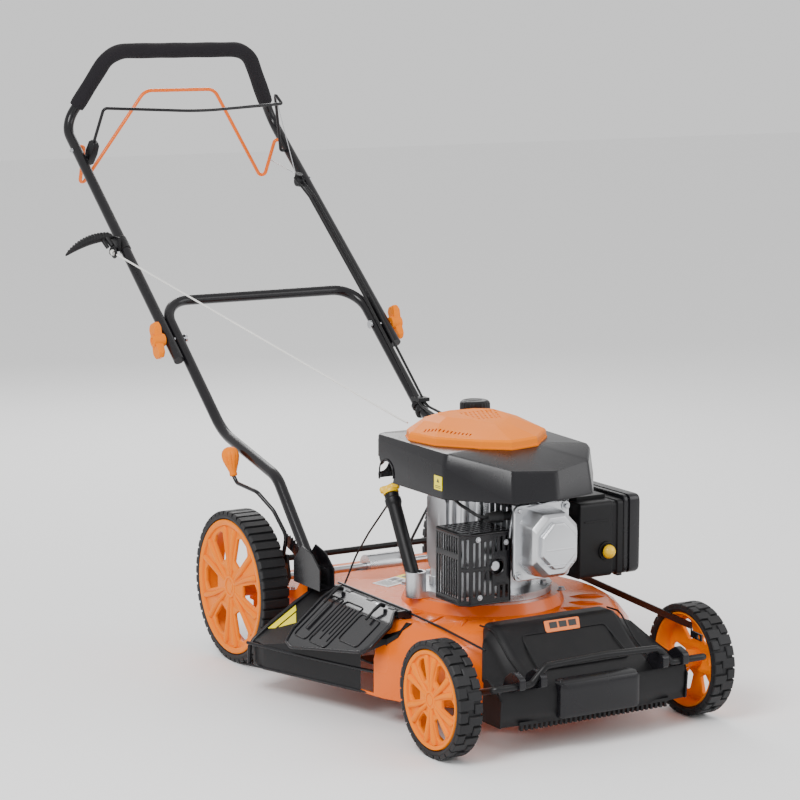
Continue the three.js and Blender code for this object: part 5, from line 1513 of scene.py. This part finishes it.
# %% Fascia trim: panel lines, bumper, saddles over the axle tube and the comb below
trim = Drawing()
for side in (-1, 1):
    edge = [Vector((side * (132 + 4 * k / 10), *p)) for k,
            p in enumerate([(y, z + 1 - 9 * 0.5) for y, z in FASCIA_LINE[5:]])]
    trim.sweep(edge, 1.8, 8)
    flank = rounded([(-452, 57, 3), (-456, 104, 6), (-436, 120, 8), (-400, 138, 10), (-394, 57, 2)], 4, 4)
    trim.plate(flank, "x", *sorted((side * 191.8, side * 195)))
panel = rounded([(-96, -420), (96, -420), (88, -352), (-88, -352)], 12, 5)
panel_line = [Vector((x, y, np.interp(y, [-430, -405, -380, -358, -338], [133, 147, 160, 178, 194]) + 0.6))
              for x, y in panel]
trim.sweep(even(panel_line + panel_line[:1], 10), 1.5, 8)
make("fascia_trim", trim, "chassis", black_plastic, bevel=0.5)

bumper = Drawing()


def bumper_ring(half, low, high, y, radius=9):
    return [(x, y, z) for x,
            z in rounded([(-half, low), (half, low), (half, high), (-half, high)], radius, 5)]


bumper.rings([bumper_ring(82, 61, 125, -432), bumper_ring(84, 60, 127, -440),
              bumper_ring(84, 60, 126, -460),
              bumper_ring(82, 62, 123, -467), bumper_ring(76, 68, 116, -470)])
make("fascia_bumper", bumper, "chassis", satin_plastic, bevel=0.8, smooth=40)
saddles = Drawing()
saddle = rounded([(-484, 128, 6), (-484, 148, 10), (-458, 156, 14), (-436, 142, 8), (-426, 118, 4),
                  (-452, 118, 4)], 6, 5)
for side in (-1, 1):
    for x in (120, 163):
        saddles.plate(saddle, "x", *sorted((side * x, side * (x + 13))))
make("fascia_saddles", saddles, "chassis", satin_plastic, bevel=2.0)
comb = Drawing()
for k in range(31):
    x = -150 + 10 * k
    comb.box(x - 2.6, x + 2.6, -452, -444, 47, 62)
comb.box(-156, 156, -453, -446, 57, 63)
make("fascia_comb", comb, "chassis", black_plastic, bevel=0.6)

# The badge: an orange strip with a dark inlay, and no lettering.
badge = Drawing()
strip = rounded([(-38, -354), (34, -354), (44, -334), (-30, -334)], 3, 3)
badge.rings([[(x, y, np.interp(y, [-358, -338, -325], [178.5, 194.5, 199.5]) + up) for x, y in strip]
             for up in (0.2, 2.0)])
make("fascia_badge", badge, "chassis", label_orange, bevel=0.4)
inlay = Drawing()
for k in range(3):
    row = [(-26 + 20 * k, -349), (-10 + 20 * k, -349), (-6 + 20 * k, -339), (-22 + 20 * k, -339)]
    inlay.rings([[(x, y, np.interp(y, [-358, -338, -325], [178.5, 194.5, 199.5]) + up) for x, y in row]
                 for up in (1.5, 2.3)])
make("fascia_badge_inlay", inlay, "chassis", label_black)

# %% [markdown]
# ## Front axle
# One bright-black rod is bent round the front of the machine and carries both front wheels. The front
# axle swings with the height setting, so the rod rides that body.

# %% Front axle rod
half_route = [(276, -372.5, 101.5), (219, -372.5, 101.5, 9), (219, -472, 133, 9), (146, -472, 133, 14),
              (116, -472, 161, 20)]
route = [*half_route, (0, -472, 165, 380), *[(-p[0], *p[1:]) for p in reversed(half_route)]]
axle_rod = Drawing().sweep(even(bend(route, 6), 9), 6.0, 14)
make("front_axle_rod", axle_rod, "front_suspension", black_steel, ("front_axle",), smooth=50)

# %% [markdown]
# ## Deck fittings
# The deck is pressed steel with a few small features on it: bolts round the engine plate, pressed
# dimples, a sticker with plain blocks where a real one has print, and a thin cable that comes down
# from the engine.

# %% Bolts, ribs and stickers on the deck
deck_bolts = Drawing()
for x, y in ((-128, 22), (130, 20), (-126, -196), (132, -192), (-60, 52), (60, 52)):
    bolt_head(deck_bolts, (x * 0.86, CRANK_Y + (y - CRANK_Y) * 0.86, 205.2), "Z", 11, 6)
for x, y in ((-214, 250), (214, 250), (-150, 330), (150, 330)):
    bolt_head(deck_bolts, (x, y, 158.4), "Z", 9, 5)
make("deck_bolts", deck_bolts, "chassis", steel, bevel=0.4)
ribs = Drawing()
for degrees in (196, 212, 228, 244, 300, 316, 332):
    a = math.radians(degrees)
    ribs.sweep([Vector((r * math.cos(a), -88 + r * math.sin(a), z)) for r,
                z in ((160, 186), (182, 187.2), (206, 187.2), (224, 186))],
               lambda t: 3.4 * math.sin(math.pi * min(0.98, max(0.02, t))) + 0.4, 8)
make("deck_pressings", ribs, "chassis", orange_steel)

STICKER = [(-119, 112), (-29, 147), (-14, 102), (-109, 69)]
sticker_at = lambda u, v, z: tuple(Vector((*STICKER[0], 0)).lerp(Vector((*STICKER[1], 0)), u).lerp(
    Vector((*STICKER[3], 0)).lerp(Vector((*STICKER[2], 0)), u), v).xy) + (z,)


def patch(u0, u1, v0, v1, low, high):
    corners = ((u0, v0), (u1, v0), (u1, v1), (u0, v1))
    return Drawing().rings([[sticker_at(u, v, z) for u, v in corners] for z in (low, high)])


make("deck_sticker", patch(0, 0.72, 0, 1, 186.2, 187.0), "chassis", label_white)
make("deck_sticker_end", patch(0.73, 1, 0, 1, 186.2, 187.0), "chassis", label_yellow)
print_rows = Drawing()
for k in range(6):
    rows = patch(0.06, 0.34 + 0.05 * (k % 3), 0.12 + 0.13 * k, 0.17 + 0.13 * k, 187.0, 187.25)
    print_rows.add(rows.points, rows.faces)
for k in range(2):
    rows = patch(0.44, 0.64, 0.12 + 0.4 * k, 0.42 + 0.4 * k, 187.0, 187.25)
    print_rows.add(rows.points, rows.faces)
rows = patch(0.79, 0.94, 0.2, 0.75, 187.0, 187.25)
print_rows.add(rows.points, rows.faces)
make("deck_sticker_print", print_rows, "chassis", label_black)
thin = Drawing().sweep(bend([(-129, 20, 395), (-129, 24, 363, 20), (-146, 78, 292, 60),
                             (-158, 104, 246, 30), (-176, 106, 205, 16), (-186, 104, 188)]), 1.8, 8)
make("throttle_cable_sheath", thin, "chassis", rubber)

# %% [markdown]
# ## Discharge side
# The chute throws the grass out to the right. Its rear rim is thick and glossy, and a yellow arrow
# marks the way out. A smoky flap with a lip all round covers it and lifts about its hinge rod.

# %% Chute rim and arrow
def wall_x(y):
    return -250 - (y + 187) / 297 * 101


chute = Drawing()
rim_line = [Vector(p)
        for p in ((-214, 152, 184), (-262, 152, 158), (-320, 152, 121), (-348, 152, 100), (-358, 151, 88),
                  (-360, 150, 56))]
chute.sweep(even(rim_line, 8), 4.2, 12)
wall_line = [Vector((wall_x(y) + 1.0, y, 96 - 2 * math.sin((y + 187) / 337 * math.pi)))
             for y in range(-180, 151, 10)]
chute.sweep(wall_line, 3.2, 10)
foot_line = [Vector((wall_x(y) + 1.0, y, 55)) for y in range(-180, 151, 10)]
chute.sweep(foot_line, 2.6, 8)
make("discharge_chute_rim", chute, "chassis", satin_plastic, bevel=0.3)


def roof_z(x):
    return np.interp(x, [-360, -350, -214], [97, 100, 185])


arrow = Drawing()
for outline in ([(-322, 146), (-264, 146), (-272, 128), (-316, 128)],
                [(-312, 122), (-276, 122), (-292, 92)]):
    arrow.rings([[(x, y, roof_z(x) + up) for x, y in outline] for up in (0.6, 1.6)])
make("discharge_arrow", arrow, "chassis", label_yellow)

# %% Flap: a curved skin with a lip, raised panel lines, prongs and spring ends
def flap_z(x):
    return np.interp(x, [-340, -330, -290, -250, -219, -206], [112.5, 122, 154, 186, 201, 202])


def flap_front(x):
    return np.interp(x, [-341, -306, -292, -250, -224, -206], [20, -172, -186, -184, -152, -150])


def flap_back(x):
    return np.interp(x, [-341, -336, -312, -206], [22, 50, 65, 69])


flap = Drawing()
rows = []
for k in range(29):
    x = -340.5 + (k / 28) * 127
    rows.append([(x, flap_front(x) + (flap_back(x) - flap_front(x)) * j / 20, flap_z(x))
                 for j in range(21)])
flap.rings(rows, around=False, caps=False)
make("flap_skin", flap, "flap", smoky_plastic, ("discharge_flap",), solidify=3.4,
     smooth=50)
lip = Drawing()
front_edge = [Vector((x, flap_front(x) + 1.5, flap_z(x))) for x in [-340 + 4.4 * k for k in range(29)]]
back_edge = [Vector((x, flap_back(x) - 1.5, flap_z(x))) for x in [-340 + 4.4 * k for k in range(29)]]
lip.sweep(even(list(reversed(back_edge)) + front_edge, 7), 2.7, 10)
for low, high, y0, y1 in ((-322, -240, -70, -8), (-322, -240, 2, 46), (-302, -252, -150, -82)):
    loop = rounded([(low, y0), (high, y0), (high, y1), (low, y1)], 8, 5)
    line = [Vector((x, y, flap_z(x) + 1.2)) for x, y in loop]
    lip.sweep(even(line + line[:1], 5), 1.0, 8)
for k in range(5):
    lip.sweep([Vector((x, -58 + 12 * k, flap_z(x) + 1.1))
               for x in (-312, -300, -288, -276, -262, -250)][k % 2:], 0.8, 6)
lip.sweep([Vector((x, 24, flap_z(x) + 1.1)) for x in (-306, -290, -272, -256)], 4.0, 10)
make("flap_lip", lip, "flap", satin_plastic)
hinge = Drawing()
hinge.sweep([Vector((-216, -158 + 6 * k, 196)) for k in range(40)], 3.6, 12)
for y in (-138, -60, 18, 62):
    hinge.turned([(3.9, 0), (6.6, 0), (6.6, 16), (3.9, 16)], (-216, y, 196), "Y", 20, closed=True)
make("flap_hinge_rod", hinge, "chassis", black_steel)
prongs = Drawing()
for y in (-112, 40):
    prongs.sweep(bend([(-223, y, 203), (-232, y - 2, 207, 5), (-246, y - 3, 198, 10), (-264, y - 6, 184)]),
                 lambda t: 4.0 - 1.6 * t, 10)
make("flap_prongs", prongs, "flap", black_plastic)
coils = Drawing()
for y0 in (-96, 34):
    turns = [Vector((-216 + 6.4 * math.cos(a), y0 + 18 * k / 96, 196 + 6.4 * math.sin(a))) for k, a in
             ((k, 2 * math.pi * 7 * k / 96) for k in range(97))]
    coils.sweep(turns, 1.1, 6)
make("flap_springs", coils, "chassis", steel)
plate_edge = Drawing()
plate_edge.sweep(even([Vector((-200, y, 201)) for y in range(-164, 97, 10)], 6), 2.2, 8)
make("hinge_plate_edge", plate_edge, "chassis", black_paint)
stay = Drawing().sweep(bend([(-202, -112, 190), (-196, -150, 196, 12), (-182, -240, 186, 30),
                             (-168, -330, 172, 20), (-160, -350, 166)]), 2.2, 8)
make("fascia_stay", stay, "chassis", black_steel)
print("fascia, deck fittings and discharge side made")

# %% [markdown]
# ## The frame's own parts
# Parts whose shape in the frame is already right stay, and only get a surface: their loose corners
# are welded, flat triangles are dissolved back into faces, and the edges are rounded a little, as
# every pressed, cast or moulded edge is.

# %% Finish every frame part that is still showing
FRAME_FINISH = {
    "orange_steel": orange_steel, "orange_plastic": orange_plastic, "black_plastic": black_plastic,
    "black_paint": black_paint, "smoky_plastic": smoky_plastic, "rubber": rubber,
    "tyre_rubber": tyre_rubber, "foam": foam, "cast_aluminium": cast_aluminium, "steel": steel,
    "black_steel": black_steel, "yellow_plastic": yellow_plastic, "rope": cord_white,
}
slots = {row["node"]: row["material_slot"] for row in frame["record"]["subparts"]}
kept = 0
for node_name, node in frame["nodes"].items():
    slot_name = slots[node_name]
    node.data.materials.clear()
    node.data.materials.append(FRAME_FINISH[slot_name])
    if node.hide_render:
        continue
    kept += 1
    for label in ("custom_normal", "sharp_edge"):
        if label in node.data.attributes:
            node.data.attributes.remove(node.data.attributes[label])
    node.data.shade_smooth()
    weld = node.modifiers.new("weld", "WELD")
    weld.merge_threshold = 0.00002
    flat = node.modifiers.new("flat_faces", "DECIMATE")
    flat.decimate_type, flat.angle_limit = "DISSOLVE", math.radians(1)
    edge = node.modifiers.new("rounded", "BEVEL")
    edge.width, edge.segments, edge.limit_method = 0.0007, 2, "ANGLE"
    edge.angle_limit, edge.harden_normals = math.radians(32), True
print(kept, "frame parts shown as they are")
